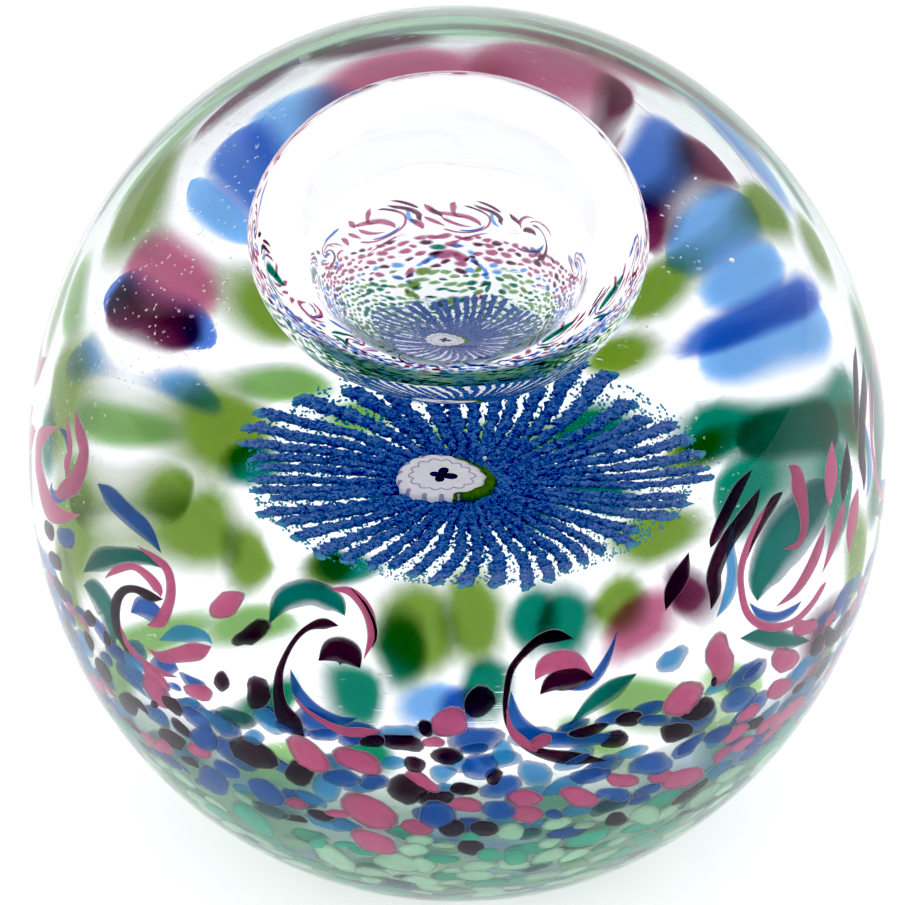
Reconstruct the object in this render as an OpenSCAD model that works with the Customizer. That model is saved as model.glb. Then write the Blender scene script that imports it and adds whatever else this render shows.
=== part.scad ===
// Round art glass paperweight. Clear gathers of glass lie one over the other, with a
// powder flower and its cane slice, an air bubble, and a cup of coloured glass chips
// drawn up into wave curls between them.
// Millimetres. Origin at the centre of the ground base, +Z up, front towards -Y.

/* [Ball] */
// Greatest width of the ball
ball_w = 80; // [74:1:90]
// Height of the whole oval compared with its width
ball_stretch = 1.063; // [1:0.001:1.1]
// Depth of the ground base below the ball's centre
base_drop = 36; // [35:0.5:37]

/* [Gathers] */
// Radius of the first gather, under the flower
first_r = 18; // [16:0.5:19]
// Radius of the second gather, which carries the bubble's dimple
second_r = 28; // [27:0.5:29]
// Thickness of the outer casing at the widest line
casing_t = 2; // [1.5:0.1:2.5]
// Clear glass between the ground base and the third gather
foot_t = 2.5; // [2:0.1:3]

/* [Bubble] */
// Width of the air bubble
bubble_w = 27.8; // [24:0.2:30]
// Height of the air bubble
bubble_h = 20; // [18:0.2:24]
// Height of the bubble's widest line above the ball's centre
bubble_rise = 18.5; // [17:0.5:19]

/* [Flower] */
// Number of powder ridges
ray_count = 46; // [36:2:50]
// Radius of the flower
flower_r = 13.8; // [12:0.2:14.2]
// Height of a powder ridge
ray_t = 0.4; // [0.3:0.05:0.5]
// Width of a ridge at its outer end
ray_w = 1; // [0.8:0.1:1.2]
// Width of the cane slice
cane_w = 5.6; // [5:0.2:6]
// Thickness of the cane slice
cane_t = 0.9; // [0.7:0.1:1]
// Number of flutes round the cane slice
flute_count = 14; // [10:1:16]

/* [Colour chips] */
// Pitch of the chips in the lower green rows
green_pitch = 3.6; // [3.4:0.1:4]
// Pitch of the chips in the upper blue, pink and aubergine rows
mixed_pitch = 4; // [3.8:0.1:4.5]
// Thickness of a chip
chip_t = 1.1; // [0.9:0.1:1.1]
// Depth of the layer that the chips lie in
layer_t = 1.6; // [1.5:0.1:1.8]

/* [Waves] */
// Number of wave curls round the ball
wave_count = 12; // [8:1:12]
// Turn of the first curl to the right of the front, in degrees
wave_turn = 13; // [0:1:30]
// Thickness of a drawn thread
thread_t = 0.8; // [0.6:0.1:0.8]
// Height of the curls' middles, in degrees above the widest line
wave_lat = 6; // [4:1:8]

/* [Hidden] */
$fn = 48;
ball_r = ball_w / 2;
chip_layer_r = ball_r - casing_t;
chip_mid_r = chip_layer_r - layer_t / 2;
flower_z = base_drop - 0.8;
flower_x = 0.9;
flower_y = -1.2;
cane_x = flower_x - 1.9;
bubble_z = base_drop + bubble_rise;
bubble_x = -0.6;
first_z = base_drop - 10;
second_z = base_drop - 1;
hub_r = 3.4;
play = 0.1;
cane_r = cane_w / 2;
jacket_t = 0.5;

// Rows of chips, as angles below and above the widest line
green_rows = 5;
green_low = -52;
green_step = 5.6;
mixed_rows = 4;
mixed_low = -23.5;
mixed_step = 6.2;
layer_low = -57;
layer_high = 17;

// Chip kinds, in the order of the colour nodes
PALE = 0;
SEA = 1;
OLIVE = 2;
DEEP = 3;
ROYAL = 4;
SKY = 5;
AUBERGINE = 6;
PINK = 7;
GREEN_MIX = [PALE, SEA, PALE, DEEP, SEA, OLIVE, PALE, SEA];
BRIGHT_MIX = [PINK, ROYAL, AUBERGINE, PINK, SKY, ROYAL, PINK, AUBERGINE];

// A repeatable fraction from 0 to 1 for a pair of whole numbers
function chance(i, j) = let (v = 437.58 * sin(127.1 * i + 311.7 * j + 74.7)) v - floor(v);

// Height above the ball's centre of the layer of radius r, at a given angle
function layer_z(r, lat) = r * ball_stretch * sin(lat);

// How far the surface leans back from upright at a given angle
function lean(lat) = atan2(sin(lat) / ball_stretch, cos(lat));

// One ring of chips: turn, angle, width and kind of each
function chip_row(row, lat, pitch, mix) = let (n = floor(360 * chip_mid_r * cos(lat) * PI / 180 / pitch))
    [for (j = [0 : n - 1]) [
        (j + 0.5 * (row % 2)) * 360 / n,
        lat,
        pitch * (0.62 + 0.3 * chance(row, j)),
        mix[floor(len(mix) * chance(j, row + 9))]
    ]];

CHIPS = concat(
    [for (row = [0 : green_rows - 1])
        each chip_row(row, green_low + row * green_step, green_pitch, GREEN_MIX)],
    [for (row = [0 : mixed_rows - 1])
        each chip_row(row + green_rows, mixed_low + row * mixed_step, mixed_pitch, BRIGHT_MIX)]
);

// An oval of the ball's proportions, centred on the ball
module oval(r) {
    translate([0, 0, base_drop]) scale([1, 1, ball_stretch]) sphere(r = r, $fn = 96);
}

// Everything between two heights
module slab(low, high) {
    translate([-ball_w, -ball_w, low]) cube([2 * ball_w, 2 * ball_w, high - low]);
}

module bubble() {
    translate([bubble_x, 0, bubble_z])
        scale([1, 1, bubble_h / bubble_w]) sphere(d = bubble_w, $fn = 96);
}

// Puts its children on the chip layer, their +Z outwards and their +Y up the ball
module on_layer(turn, lat) {
    rotate(turn)
        translate([chip_mid_r * cos(lat), 0, base_drop + layer_z(chip_mid_r, lat)])
            rotate([0, -lean(lat), 0]) rotate([90, 0, 90]) children();
}

// A chip melted round at its edges
module chip(w) {
    bow = (w * w + chip_t * chip_t) / (4 * chip_t);
    intersection() {
        translate([0, 0, bow - chip_t / 2]) sphere(r = bow);
        translate([0, 0, chip_t / 2 - bow]) sphere(r = bow);
    }
}

module chips(kind) {
    for (c = CHIPS) if (c[3] == kind) on_layer(c[0], c[1]) chip(c[2]);
}

// One drawn thread of a curl, bent to radius r
module thread(r, start, sweep) {
    rotate(start) rotate_extrude(angle = sweep) translate([r, 0]) circle(d = thread_t, $fn = 24);
}

module threads(r, start, sweep) {
    for (i = [0 : wave_count - 1])
        on_layer(wave_turn - 90 + i * 360 / wave_count, wave_lat) thread(r, start, sweep);
}

// Room for the flower and its cane slice between the first two gathers
module flower_room() {
    translate([flower_x, flower_y, flower_z]) cylinder(r = flower_r + 3 * play, h = ray_t + play);
    translate([cane_x, flower_y, flower_z]) cylinder(r = cane_r + jacket_t + 2 * play, h = cane_t + play);
}

module cane_room() {
    translate([cane_x, flower_y, flower_z - 1]) cylinder(r = cane_r + jacket_t + play, h = cane_t + 2);
}

module first_gather() {
    color("#f4f7fa", 0.3) intersection() {
        translate([0, 0, first_z]) sphere(r = first_r, $fn = 96);
        slab(0, flower_z);
    }
}

module flower_rays() {
    color("#2b3c9c") difference() {
        translate([flower_x, flower_y, flower_z]) for (i = [0 : ray_count - 1])
            rotate(i * 360 / ray_count) linear_extrude(ray_t) polygon([
                [hub_r + play, -0.1],
                [flower_r - ray_w / 2, -ray_w / 2],
                [flower_r, 0],
                [flower_r - ray_w / 2, ray_w / 2],
                [hub_r + play, 0.1]
            ]);
        cane_room();
    }
}

module flower_hub() {
    color("#25348c") difference() {
        translate([flower_x, flower_y, flower_z]) cylinder(r = hub_r, h = ray_t);
        cane_room();
    }
}

// The dark mark's outline: three round lobes
module star_lobes(grow, h) {
    for (i = [0 : 2])
        rotate(90 + i * 120) translate([0.38, 0, 0]) cylinder(r = 0.32 + grow, h = h);
}

module centre_cane() {
    color("#f2f2f6") translate([cane_x, flower_y, flower_z]) difference() {
        cylinder(r = cane_r, h = cane_t);
        translate([0, 0, cane_t - 0.4]) star_lobes(0.02, 1);
        for (i = [0 : flute_count - 1])
            rotate(i * 360 / flute_count) translate([cane_r, 0, -1]) cylinder(r = 0.25, h = cane_t + 2);
    }
}

module cane_star() {
    color("#1d2466") translate([cane_x, flower_y, flower_z + cane_t - 0.4]) star_lobes(0, 0.4);
}

module cane_crimps() {
    color("#c9c4e2") translate([cane_x, flower_y, flower_z])
        for (i = [0 : flute_count - 1])
            rotate(i * 360 / flute_count) translate([cane_r, 0, 0]) cylinder(r = 0.22, h = cane_t);
}

module cane_jacket() {
    color("#7f9a52") translate([cane_x, flower_y, flower_z]) rotate(-70) rotate_extrude(angle = 140)
        translate([cane_r + 0.3, 0]) square([jacket_t - 0.3, cane_t]);
}

module second_gather() {
    color("#f4f7fa", 0.3) difference() {
        intersection() {
            translate([0, 0, second_z]) sphere(r = second_r, $fn = 96);
            slab(0, bubble_z);
        }
        first_gather();
        flower_room();
        bubble();
    }
}

// The layer that the chips and threads lie in, open between two angles
module chip_layer(inner, outer, low, high) {
    intersection() {
        difference() {
            oval(outer);
            oval(inner);
        }
        slab(base_drop + layer_z(outer, low), base_drop + layer_z(outer, high));
    }
}

module third_gather() {
    color("#f4f7fa", 0.3) difference() {
        intersection() {
            oval(chip_layer_r);
            slab(foot_t, 2 * ball_w);
        }
        chip_layer(chip_layer_r - layer_t, chip_layer_r + 1, layer_low, layer_high);
        intersection() {
            translate([0, 0, second_z]) sphere(r = second_r, $fn = 96);
            slab(0, bubble_z);
        }
        bubble();
    }
}

module green_wash() {
    color("#bfe0cf", 0.5) chip_layer(chip_layer_r - layer_t, chip_layer_r - layer_t + 0.1, layer_low, -14);
}

module pale_green_chips() { color("#a8d0a0") chips(PALE); }

module sea_green_chips() { color("#3fa084") chips(SEA); }

module olive_green_chips() { color("#6f9a45") chips(OLIVE); }

module deep_green_chips() { color("#0f755c") chips(DEEP); }

module royal_blue_chips() { color("#2450a8") chips(ROYAL); }

module sky_blue_chips() { color("#5b8fd0") chips(SKY); }

module aubergine_chips() { color("#35152f") chips(AUBERGINE); }

module pink_chips() { color("#c4688f") chips(PINK); }

module pink_waves() { color("#c4688f") threads(5.4, 40, 150); }

module teal_waves() { color("#0f755c") threads(4.2, 0, 160); }

module aubergine_waves() { color("#35152f") threads(3, 20, 230); }

module blue_waves() { color("#2450a8") threads(1.8, -40, 190); }

module outer_casing() {
    color("#f4f7fa", 0.3) difference() {
        intersection() {
            oval(ball_r);
            slab(0, 2 * ball_w);
        }
        intersection() {
            oval(chip_layer_r);
            slab(foot_t, 2 * ball_w);
        }
    }
}

first_gather();
flower_rays();
flower_hub();
centre_cane();
cane_star();
cane_crimps();
cane_jacket();
second_gather();
third_gather();
green_wash();
pale_green_chips();
sea_green_chips();
olive_green_chips();
deep_green_chips();
royal_blue_chips();
sky_blue_chips();
aubergine_chips();
pink_chips();
pink_waves();
teal_waves();
aubergine_waves();
blue_waves();
outer_casing();
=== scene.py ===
"""Looks of a round art glass paperweight: a clear crystal ball with an air bubble over a flower of
blue powdered glass, in a cup of coloured frit that is drawn up into wave curls."""
import math

import bmesh
import bpy
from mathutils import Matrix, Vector, noise


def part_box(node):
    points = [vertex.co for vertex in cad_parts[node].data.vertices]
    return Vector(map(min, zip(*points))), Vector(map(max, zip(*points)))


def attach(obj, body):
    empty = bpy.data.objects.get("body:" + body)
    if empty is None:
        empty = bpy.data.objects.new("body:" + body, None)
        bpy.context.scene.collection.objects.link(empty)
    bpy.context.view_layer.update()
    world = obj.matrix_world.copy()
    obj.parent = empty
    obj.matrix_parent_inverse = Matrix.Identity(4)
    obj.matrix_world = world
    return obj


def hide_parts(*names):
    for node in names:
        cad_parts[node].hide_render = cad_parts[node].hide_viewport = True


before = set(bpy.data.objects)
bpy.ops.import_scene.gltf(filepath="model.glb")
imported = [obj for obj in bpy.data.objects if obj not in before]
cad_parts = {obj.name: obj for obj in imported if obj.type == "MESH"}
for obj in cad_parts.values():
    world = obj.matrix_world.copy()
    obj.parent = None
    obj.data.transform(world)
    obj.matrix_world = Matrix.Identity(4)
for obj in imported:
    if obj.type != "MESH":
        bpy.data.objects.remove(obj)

bl_info = {
    "name": "Art Glass Paperweight",
    "version": (1, 0, 0),
    "blender": (4, 5, 0),
    "location": "View3D > Sidebar > Paperweight",
    "description": "Builds the glass, the flower and the frit of a paperweight around its CAD frame",
    "category": "Object",
}

MM = 0.001
CASING_LOW, CASING_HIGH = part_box("outer_casing")
RAYS_LOW, RAYS_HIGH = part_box("flower_rays")
CANE_LOW, CANE_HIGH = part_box("centre_cane")
BUBBLE_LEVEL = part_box("second_gather")[1].z
LAYER_RADIUS = (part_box("third_gather")[1].x + CASING_HIGH.x - 2 * MM) / 2


# ---------------------------------------------------------------- helpers

def linear(hex_colour):
    """An sRGB hex colour as the linear colour that shaders take."""
    channels = [int(hex_colour[i:i + 2], 16) / 255 for i in (1, 3, 5)]
    return [c / 12.92 if c <= 0.04045 else ((c + 0.055) / 1.055) ** 2.4 for c in channels]


def add(tree, kind, links=None, **settings):
    """Adds a node with its settings; links gives each input a value or another node's output."""
    made = tree.nodes.new(kind)
    for name, value in settings.items():
        setattr(made, name, value)
    for key, value in (links or {}).items():
        if isinstance(value, bpy.types.NodeSocket):
            tree.links.new(value, made.inputs[key])
        else:
            made.inputs[key].default_value = value
    return made


def new_material(name):
    """An empty node material and its tree."""
    material = bpy.data.materials.new(name)
    material.use_nodes = True
    material.node_tree.nodes.clear()
    return material, material.node_tree


def new_object(name, mesh, material=None):
    """Links a mesh as an object at the origin, shaded smooth."""
    piece = bpy.data.objects.new(name, mesh)
    bpy.context.scene.collection.objects.link(piece)
    if material:
        mesh.materials.clear()
        mesh.materials.append(material)
    mesh.polygons.foreach_set("use_smooth", [True] * len(mesh.polygons))
    return piece


def finish_piece(piece, slot, *nodes):
    """Fixes a finished piece to the object and hides the CAD nodes that it takes the place of."""
    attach(piece, "root")
    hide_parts(*nodes)
    return piece


def ring_solid(bm, rings, closed_ends=True):
    """Adds a closed solid through rings of points; a ring of one point is a pole."""
    rows = [[bm.verts.new(point) for point in ring] for ring in rings]
    for low, high in zip(rows, rows[1:]):
        count = max(len(low), len(high))
        for i in range(count):
            j = (i + 1) % count
            if len(low) == 1:
                bm.faces.new((low[0], high[j], high[i]))
            elif len(high) == 1:
                bm.faces.new((low[i], low[j], high[0]))
            else:
                bm.faces.new((low[i], low[j], high[j], high[i]))
    if closed_ends and len(rows[0]) > 1:
        bm.faces.new(list(reversed(rows[0])))
    if closed_ends and len(rows[-1]) > 1:
        bm.faces.new(rows[-1])
    return [v for row in rows for v in row]


def turned(profile, segments, centre=(0, 0)):
    """Rings of a shape turned about an upright axis, from (radius, height) pairs."""
    rings = []
    for radius, height in profile:
        if radius < 1e-9:
            rings.append([(centre[0], centre[1], height)])
            continue
        steps = [2 * math.pi * i / segments for i in range(segments)]
        rings.append([(centre[0] + radius * math.cos(a), centre[1] + radius * math.sin(a), height)
                      for a in steps])
    return rings


def mesh_from(bm, name):
    """Turns a bmesh into a mesh."""
    mesh = bpy.data.meshes.new(name)
    bm.to_mesh(mesh)
    bm.free()
    return mesh


def node_group(name, inputs):
    """A geometry node tree with named inputs, given as name: (socket type, default)."""
    group = bpy.data.node_groups.new(name, "GeometryNodeTree")
    group.interface.new_socket("Geometry", in_out="OUTPUT", socket_type="NodeSocketGeometry")
    for label, (kind, default) in inputs.items():
        socket = group.interface.new_socket(label, in_out="INPUT", socket_type=kind)
        if default is not None:
            socket.default_value = default
    return group, add(group, "NodeGroupInput").outputs


def grow(name, group, values):
    """Runs a node tree with these named inputs and keeps the result as a plain mesh object."""
    host = bpy.data.objects.new(name + "_host", bpy.data.meshes.new(name + "_host"))
    bpy.context.scene.collection.objects.link(host)
    modifier = host.modifiers.new("grow", "NODES")
    modifier.node_group = group
    for item in group.interface.items_tree:
        if item.in_out == "INPUT" and item.name in values:
            modifier[item.identifier] = values[item.name]
    host.update_tag()
    depsgraph = bpy.context.evaluated_depsgraph_get()
    mesh = bpy.data.meshes.new_from_object(host.evaluated_get(depsgraph))
    bpy.data.objects.remove(host)
    mesh.name = name
    piece = bpy.data.objects.new(name, mesh)
    bpy.context.scene.collection.objects.link(piece)
    return piece


# ---------------------------------------------------------------- settings

def length(label, millimetres, text):
    """A length property given in millimetres."""
    return bpy.props.FloatProperty(name=label, description=text, default=millimetres * MM,
                                   min=0, unit="LENGTH", precision=5)


def tint(label, hex_colour, text="Colour of the glass"):
    """A colour property given as sRGB hex."""
    return bpy.props.FloatVectorProperty(name=label, description=text, subtype="COLOR",
                                         min=0, max=1, default=linear(hex_colour))


class CrystalSettings(bpy.types.PropertyGroup):
    """Sizes of the clear ball and its bubble."""
    stretch: bpy.props.FloatProperty(
        name="Stretch", description="Height of the whole oval compared with its width",
        default=1.063, min=1, max=1.2)
    bubble_width: length("Bubble width", 27.8, "Width of the air bubble")
    bubble_height: length("Bubble height", 20, "Height of the air bubble")
    bubble_x: bpy.props.FloatProperty(
        name="Bubble offset", description="How far the bubble sits to the right of the middle",
        default=-0.6 * MM, unit="LENGTH", precision=5)
    ground_edge: length("Ground edge", 0.5, "Width of the ground bevel round the base")
    crystal: tint("Crystal", "#F9FAFE")


class FlowerSettings(bpy.types.PropertyGroup):
    """Sizes and colours of the powder flower and its cane slice."""
    rays: bpy.props.IntProperty(name="Rays", description="Number of powder ridges", default=47, min=6)
    ray_width: length("Ray width", 0.95, "Width of a ridge at its outer end")
    grain: length("Grain", 0.1, "Radius of a grain of powder")
    powder: tint("Powder", "#7898D0")
    powder_dark: tint("Dark powder", "#3A5CA8")
    # Teal of the low-lying powder and loose grains: partly thinly spread powder, partly painted glints
    powder_thin_and_glints: tint("Thin powder", "#5CB4CC")
    white: tint("Cane white", "#FDFDFF")
    lilac: tint("Cane lilac", "#B9B4DA")
    navy: tint("Cane mark", "#1A2260")
    jacket: tint("Cane jacket", "#6E8C3C")


class FritSettings(bpy.types.PropertyGroup):
    """Sizes and colours of the coloured chips. Lit is the outer side, deep the inner side."""
    spacing: length("Spacing", 2.1, "Least distance between the middles of two chips")
    chip_length: length("Chip length", 3.6, "Length of an average chip")
    chip_width: length("Chip width", 2.3, "Width of an average chip")
    chip_thickness: length("Chip thickness", 0.7, "Thickness of a chip")
    lowest: bpy.props.FloatProperty(name="Lowest", description="Angle of the lowest chips",
                                    default=math.radians(-60), subtype="ANGLE")
    highest: bpy.props.FloatProperty(name="Highest", description="Angle of the highest chips",
                                     default=math.radians(-7), subtype="ANGLE")
    boundary: bpy.props.FloatProperty(name="Boundary", default=math.radians(-27), subtype="ANGLE",
                                      description="Angle where green chips give way to bright ones")
    wash: tint("Wash", "#A4D6B8", "Colour of the thin powder behind the chips")
    haze: tint("Haze", "#7CB0E4", "Colour of the blue drifts in that powder")
    slate: tint("Slate", "#6C88B0", "Colour of that powder near the base")
    pale_green_lit: tint("Pale green, lit", "#BEF4CC")
    pale_green_deep: tint("Pale green, deep", "#86B06A")
    sea_green_lit: tint("Sea green, lit", "#40C49E")
    sea_green_deep: tint("Sea green, deep", "#0F7A58")
    olive_green_lit: tint("Olive green, lit", "#9AD4A4")
    olive_green_deep: tint("Olive green, deep", "#74923C")
    deep_green_lit: tint("Deep green, lit", "#06606A")
    deep_green_deep: tint("Deep green, deep", "#167A64")
    royal_blue_lit: tint("Royal blue, lit", "#1460B4")
    royal_blue_deep: tint("Royal blue, deep", "#4C74C0")
    sky_blue_lit: tint("Sky blue, lit", "#2E9CCE")
    sky_blue_deep: tint("Sky blue, deep", "#74A8DC")
    aubergine_lit: tint("Aubergine, lit", "#200E20")
    aubergine_deep: tint("Aubergine, deep", "#6A2A4A")
    pink_lit: tint("Pink, lit", "#E26C96")
    pink_deep: tint("Pink, deep", "#B86886")


class StageSettings(bpy.types.PropertyGroup):
    """Camera and light."""
    elevation: bpy.props.FloatProperty(name="Elevation", default=math.radians(33.5), subtype="ANGLE",
                                       description="How far above level the camera stands")
    distance: bpy.props.FloatProperty(name="Distance", default=0.8, unit="LENGTH",
                                      description="Distance from the camera to the ball's middle")
    fill: bpy.props.FloatProperty(name="Fill", default=0.949, min=0.1, max=1, subtype="FACTOR",
                                  description="Share of the picture's width that the ball takes")
    floor: tint("Floor", "#CCCCD0", "Colour of the floor")
    glow: bpy.props.FloatProperty(name="Glow", default=0.62, min=0, max=1,
                                  description="Light that comes up through the floor")


SETTINGS = {"crystal": CrystalSettings, "flower": FlowerSettings, "frit": FritSettings,
            "stage": StageSettings}


def settings(name):
    """One of the scene's groups of settings."""
    return getattr(bpy.context.scene, "paperweight_" + name)


def ball_radius():
    """Half of the ball's greatest width."""
    return (CASING_HIGH.x - CASING_LOW.x) / 2


def ball_middle():
    """Height of the ball's widest line."""
    return CASING_HIGH.z - settings("crystal").stretch * ball_radius()


def on_layer(radius, turn, angle, lift=0.0):
    """A point on the oval layer of that radius; turn 0 faces the front and grows to the right."""
    stretch = settings("crystal").stretch
    point = Vector((math.cos(angle) * math.sin(turn), -math.cos(angle) * math.cos(turn),
                    stretch * math.sin(angle))) * radius
    outwards = Vector((point.x, point.y, point.z / stretch ** 2)).normalized()
    return point + outwards * lift + Vector((0, 0, ball_middle())), outwards


# ---------------------------------------------------------------- materials

def polished_crystal():
    """Lead-free crystal, fire-polished: water clear, with the hairline wear that handling leaves."""
    material, tree = new_material("polished_crystal")
    place = add(tree, "ShaderNodeTexCoord").outputs["Object"]
    lines = None
    # Hairlines 0.05 mm wide and a few millimetres long, in three directions
    for turn in ((0.4, 0.2, 0.3), (1.1, 0.7, 2.0), (0.2, 1.3, 4.1)):
        stretched = add(tree, "ShaderNodeMapping", {"Vector": place, "Rotation": turn,
                                                    "Scale": (60, 2600, 2600)})
        streak = add(tree, "ShaderNodeTexNoise", {"Vector": stretched.outputs[0], "Scale": 1.0,
                                                  "Detail": 0.0})
        cut = add(tree, "ShaderNodeMapRange", {"Value": streak.outputs["Fac"], "From Min": 0.80,
                                               "From Max": 0.84})
        lines = cut.outputs[0] if lines is None else add(
            tree, "ShaderNodeMath", {0: lines, 1: cut.outputs[0]}, operation="MAXIMUM").outputs[0]
    patches = add(tree, "ShaderNodeTexNoise", {"Vector": place, "Scale": 45.0, "Detail": 1.0})
    where = add(tree, "ShaderNodeMapRange", {"Value": patches.outputs["Fac"], "From Min": 0.5,
                                             "From Max": 0.62})
    wear = add(tree, "ShaderNodeMath", {0: lines, 1: where.outputs[0]}, operation="MULTIPLY")
    bump = add(tree, "ShaderNodeBump", {"Height": wear.outputs[0], "Strength": 0.25,
                                        "Distance": 0.00001}, invert=True)
    # The base is ground: matt up to its edge
    height = add(tree, "ShaderNodeSeparateXYZ", {0: place}).outputs[2]
    ground = add(tree, "ShaderNodeMapRange", {"Value": height, "From Min": 0.1 * MM,
                                              "From Max": 0.3 * MM, "To Min": 0.35, "To Max": 0.0})
    glass = add(tree, "ShaderNodeBsdfPrincipled", {
        "Base Color": [*settings("crystal").crystal, 1], "Roughness": ground.outputs[0], "IOR": 1.52,
        "Transmission Weight": 1.0, "Normal": bump.outputs[0]})
    add(tree, "ShaderNodeOutputMaterial", {"Surface": glass.outputs[0]})
    return material


def opaline_frit(name, lit, deep, milkiness):
    """Melted frit glass: milky on its outer side, a clear deeper colour on its inner side, with a
    painted highlight as a pale band along its edge, and thinning to clear where the chip has melted into the
    crystal."""
    material, tree = new_material(name)
    reach = add(tree, "ShaderNodeAttribute", attribute_name="rim").outputs["Fac"]
    mark = add(tree, "ShaderNodeAttribute", attribute_name="side").outputs["Fac"]
    side = add(tree, "ShaderNodeMapRange", {"Value": mark, "From Min": 0.5,
                                            "From Max": 0.55}).outputs[0]
    tone = add(tree, "ShaderNodeAttribute", attribute_name="tone").outputs["Fac"]
    place = add(tree, "ShaderNodeTexCoord").outputs["Object"]
    # Clouds in the glass are about 1.5 mm across
    clouds = add(tree, "ShaderNodeTexNoise", {"Vector": place, "Scale": 700.0, "Detail": 2.0})
    cloudy = add(tree, "ShaderNodeMath", {0: clouds.outputs["Fac"], 1: tone}, operation="ADD")
    value = add(tree, "ShaderNodeMapRange", {"Value": cloudy.outputs[0], "From Min": 0.5,
                                             "From Max": 1.5, "To Min": 0.8, "To Max": 1.2})
    body = add(tree, "ShaderNodeMix", {0: side, 6: [*deep, 1], 7: [*lit, 1]}, data_type="RGBA")
    shaded = add(tree, "ShaderNodeHueSaturation", {"Color": body.outputs[2],
                                                   "Value": value.outputs[0]})
    # Painted highlight: a pale band just inside the edge stands in for the bright outline that light gives the edge
    # of a chip or curl
    pale = add(tree, "ShaderNodeMapRange", {"Value": reach, "From Min": 0.88, "From Max": 0.95})
    painted_edge_highlight = [0.45 * c + 0.5 for c in lit]
    milk_and_edge_highlight = add(tree, "ShaderNodeMix", {0: pale.outputs[0], 6: shaded.outputs[0],
                                       7: [*painted_edge_highlight, 1]}, data_type="RGBA")
    opal = add(tree, "ShaderNodeBsdfPrincipled", {
        "Base Color": milk_and_edge_highlight.outputs[2], "Roughness": 0.4, "IOR": 1.0})
    soft = add(tree, "ShaderNodeMapRange", {"Value": reach, "From Min": 0.45, "From Max": 1.0},
               interpolation_type="SMOOTHSTEP")
    clearness = add(tree, "ShaderNodeMath", {0: soft.outputs[0], 1: side}, operation="MAXIMUM")
    stained = [min(1, 1.3 * c + 0.005) for c in deep]
    stain = add(tree, "ShaderNodeMix", {0: clearness.outputs[0], 6: [*stained, 1],
                                        7: [1, 1, 1, 1]}, data_type="RGBA")
    clear = add(tree, "ShaderNodeBsdfTransparent", {"Color": stain.outputs[2]})
    edge = add(tree, "ShaderNodeMapRange", {"Value": reach, "From Min": 0.95, "From Max": 1.0,
                                            "To Min": milkiness, "To Max": 0.0})
    inner = add(tree, "ShaderNodeMapRange", {"Value": reach, "From Min": 0.3, "From Max": 0.9,
                                             "To Min": 0.15, "To Max": 0.0})
    # Seen from within, the milky side only passes light on, so it covers less
    behind = add(tree, "ShaderNodeNewGeometry").outputs["Backfacing"]
    faded = add(tree, "ShaderNodeMapRange", {"Value": soft.outputs[0], "To Min": 0.35 * milkiness,
                                             "To Max": 0.0})
    outer = add(tree, "ShaderNodeMix", {0: behind, 2: edge.outputs[0], 3: faded.outputs[0]},
                data_type="FLOAT")
    cover = add(tree, "ShaderNodeMix", {0: side, 2: inner.outputs[0], 3: outer.outputs[0]},
                data_type="FLOAT")
    both = add(tree, "ShaderNodeMixShader", {0: cover.outputs[0], 1: clear.outputs[0],
                                             2: opal.outputs[0]})
    add(tree, "ShaderNodeOutputMaterial", {"Surface": both.outputs[0]})
    return material


def powder_wash(colour):
    """Pale green powder rolled on so thinly that the crystal only takes a tinge from it."""
    material, tree = new_material("pale_powder_wash")
    place = add(tree, "ShaderNodeTexCoord").outputs["Object"]
    patches = add(tree, "ShaderNodeTexNoise", {"Vector": place, "Scale": 70.0, "Detail": 2.0})
    parts = add(tree, "ShaderNodeSeparateXYZ", {0: place})
    depth, height = parts.outputs[1], parts.outputs[2]
    front = add(tree, "ShaderNodeMapRange", {"Value": depth, "From Min": 4 * MM,
                                             "From Max": -8 * MM})
    low = add(tree, "ShaderNodeMapRange", {"Value": height, "From Min": 26.5 * MM,
                                           "From Max": 19 * MM})
    patchy = add(tree, "ShaderNodeMapRange", {"Value": patches.outputs["Fac"], "From Min": 0.35,
                                              "From Max": 0.65, "To Min": 0.6, "To Max": 1.0})
    zone = add(tree, "ShaderNodeMath", {0: low.outputs[0], 1: front.outputs[0]},
               operation="MULTIPLY")
    amount = add(tree, "ShaderNodeMath", {0: zone.outputs[0], 1: patchy.outputs[0]},
                 operation="MULTIPLY")
    # Towards the base the powder turns slate blue
    depth_down = add(tree, "ShaderNodeMapRange", {"Value": height, "From Min": 11 * MM,
                                                  "From Max": 5 * MM})
    drifts = add(tree, "ShaderNodeTexNoise", {"Vector": place, "Scale": 110.0, "Detail": 1.0})
    bluer = add(tree, "ShaderNodeMapRange", {"Value": drifts.outputs["Fac"], "From Min": 0.45,
                                             "From Max": 0.6})
    mixed = add(tree, "ShaderNodeMix", {0: bluer.outputs[0], 6: [*colour, 1],
                                        7: [*settings("frit").haze, 1]}, data_type="RGBA")
    powder = add(tree, "ShaderNodeMix", {0: depth_down.outputs[0], 6: mixed.outputs[2],
                                         7: [*settings("frit").slate, 1]}, data_type="RGBA")
    stain = add(tree, "ShaderNodeMix", {0: amount.outputs[0], 6: [1, 1, 1, 1],
                                        7: [0.55 + 0.45 * c for c in colour] + [1]},
                data_type="RGBA")
    clear = add(tree, "ShaderNodeBsdfTransparent", {"Color": stain.outputs[2]})
    dusty = add(tree, "ShaderNodeBsdfPrincipled", {"Base Color": powder.outputs[2],
                                                   "Roughness": 0.6, "IOR": 1.0})
    share = add(tree, "ShaderNodeMath", {0: amount.outputs[0], 1: 0.7}, operation="MULTIPLY")
    both = add(tree, "ShaderNodeMixShader", {0: share.outputs[0], 1: clear.outputs[0],
                                             2: dusty.outputs[0]})
    add(tree, "ShaderNodeOutputMaterial", {"Surface": both.outputs[0]})
    return material


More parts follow.
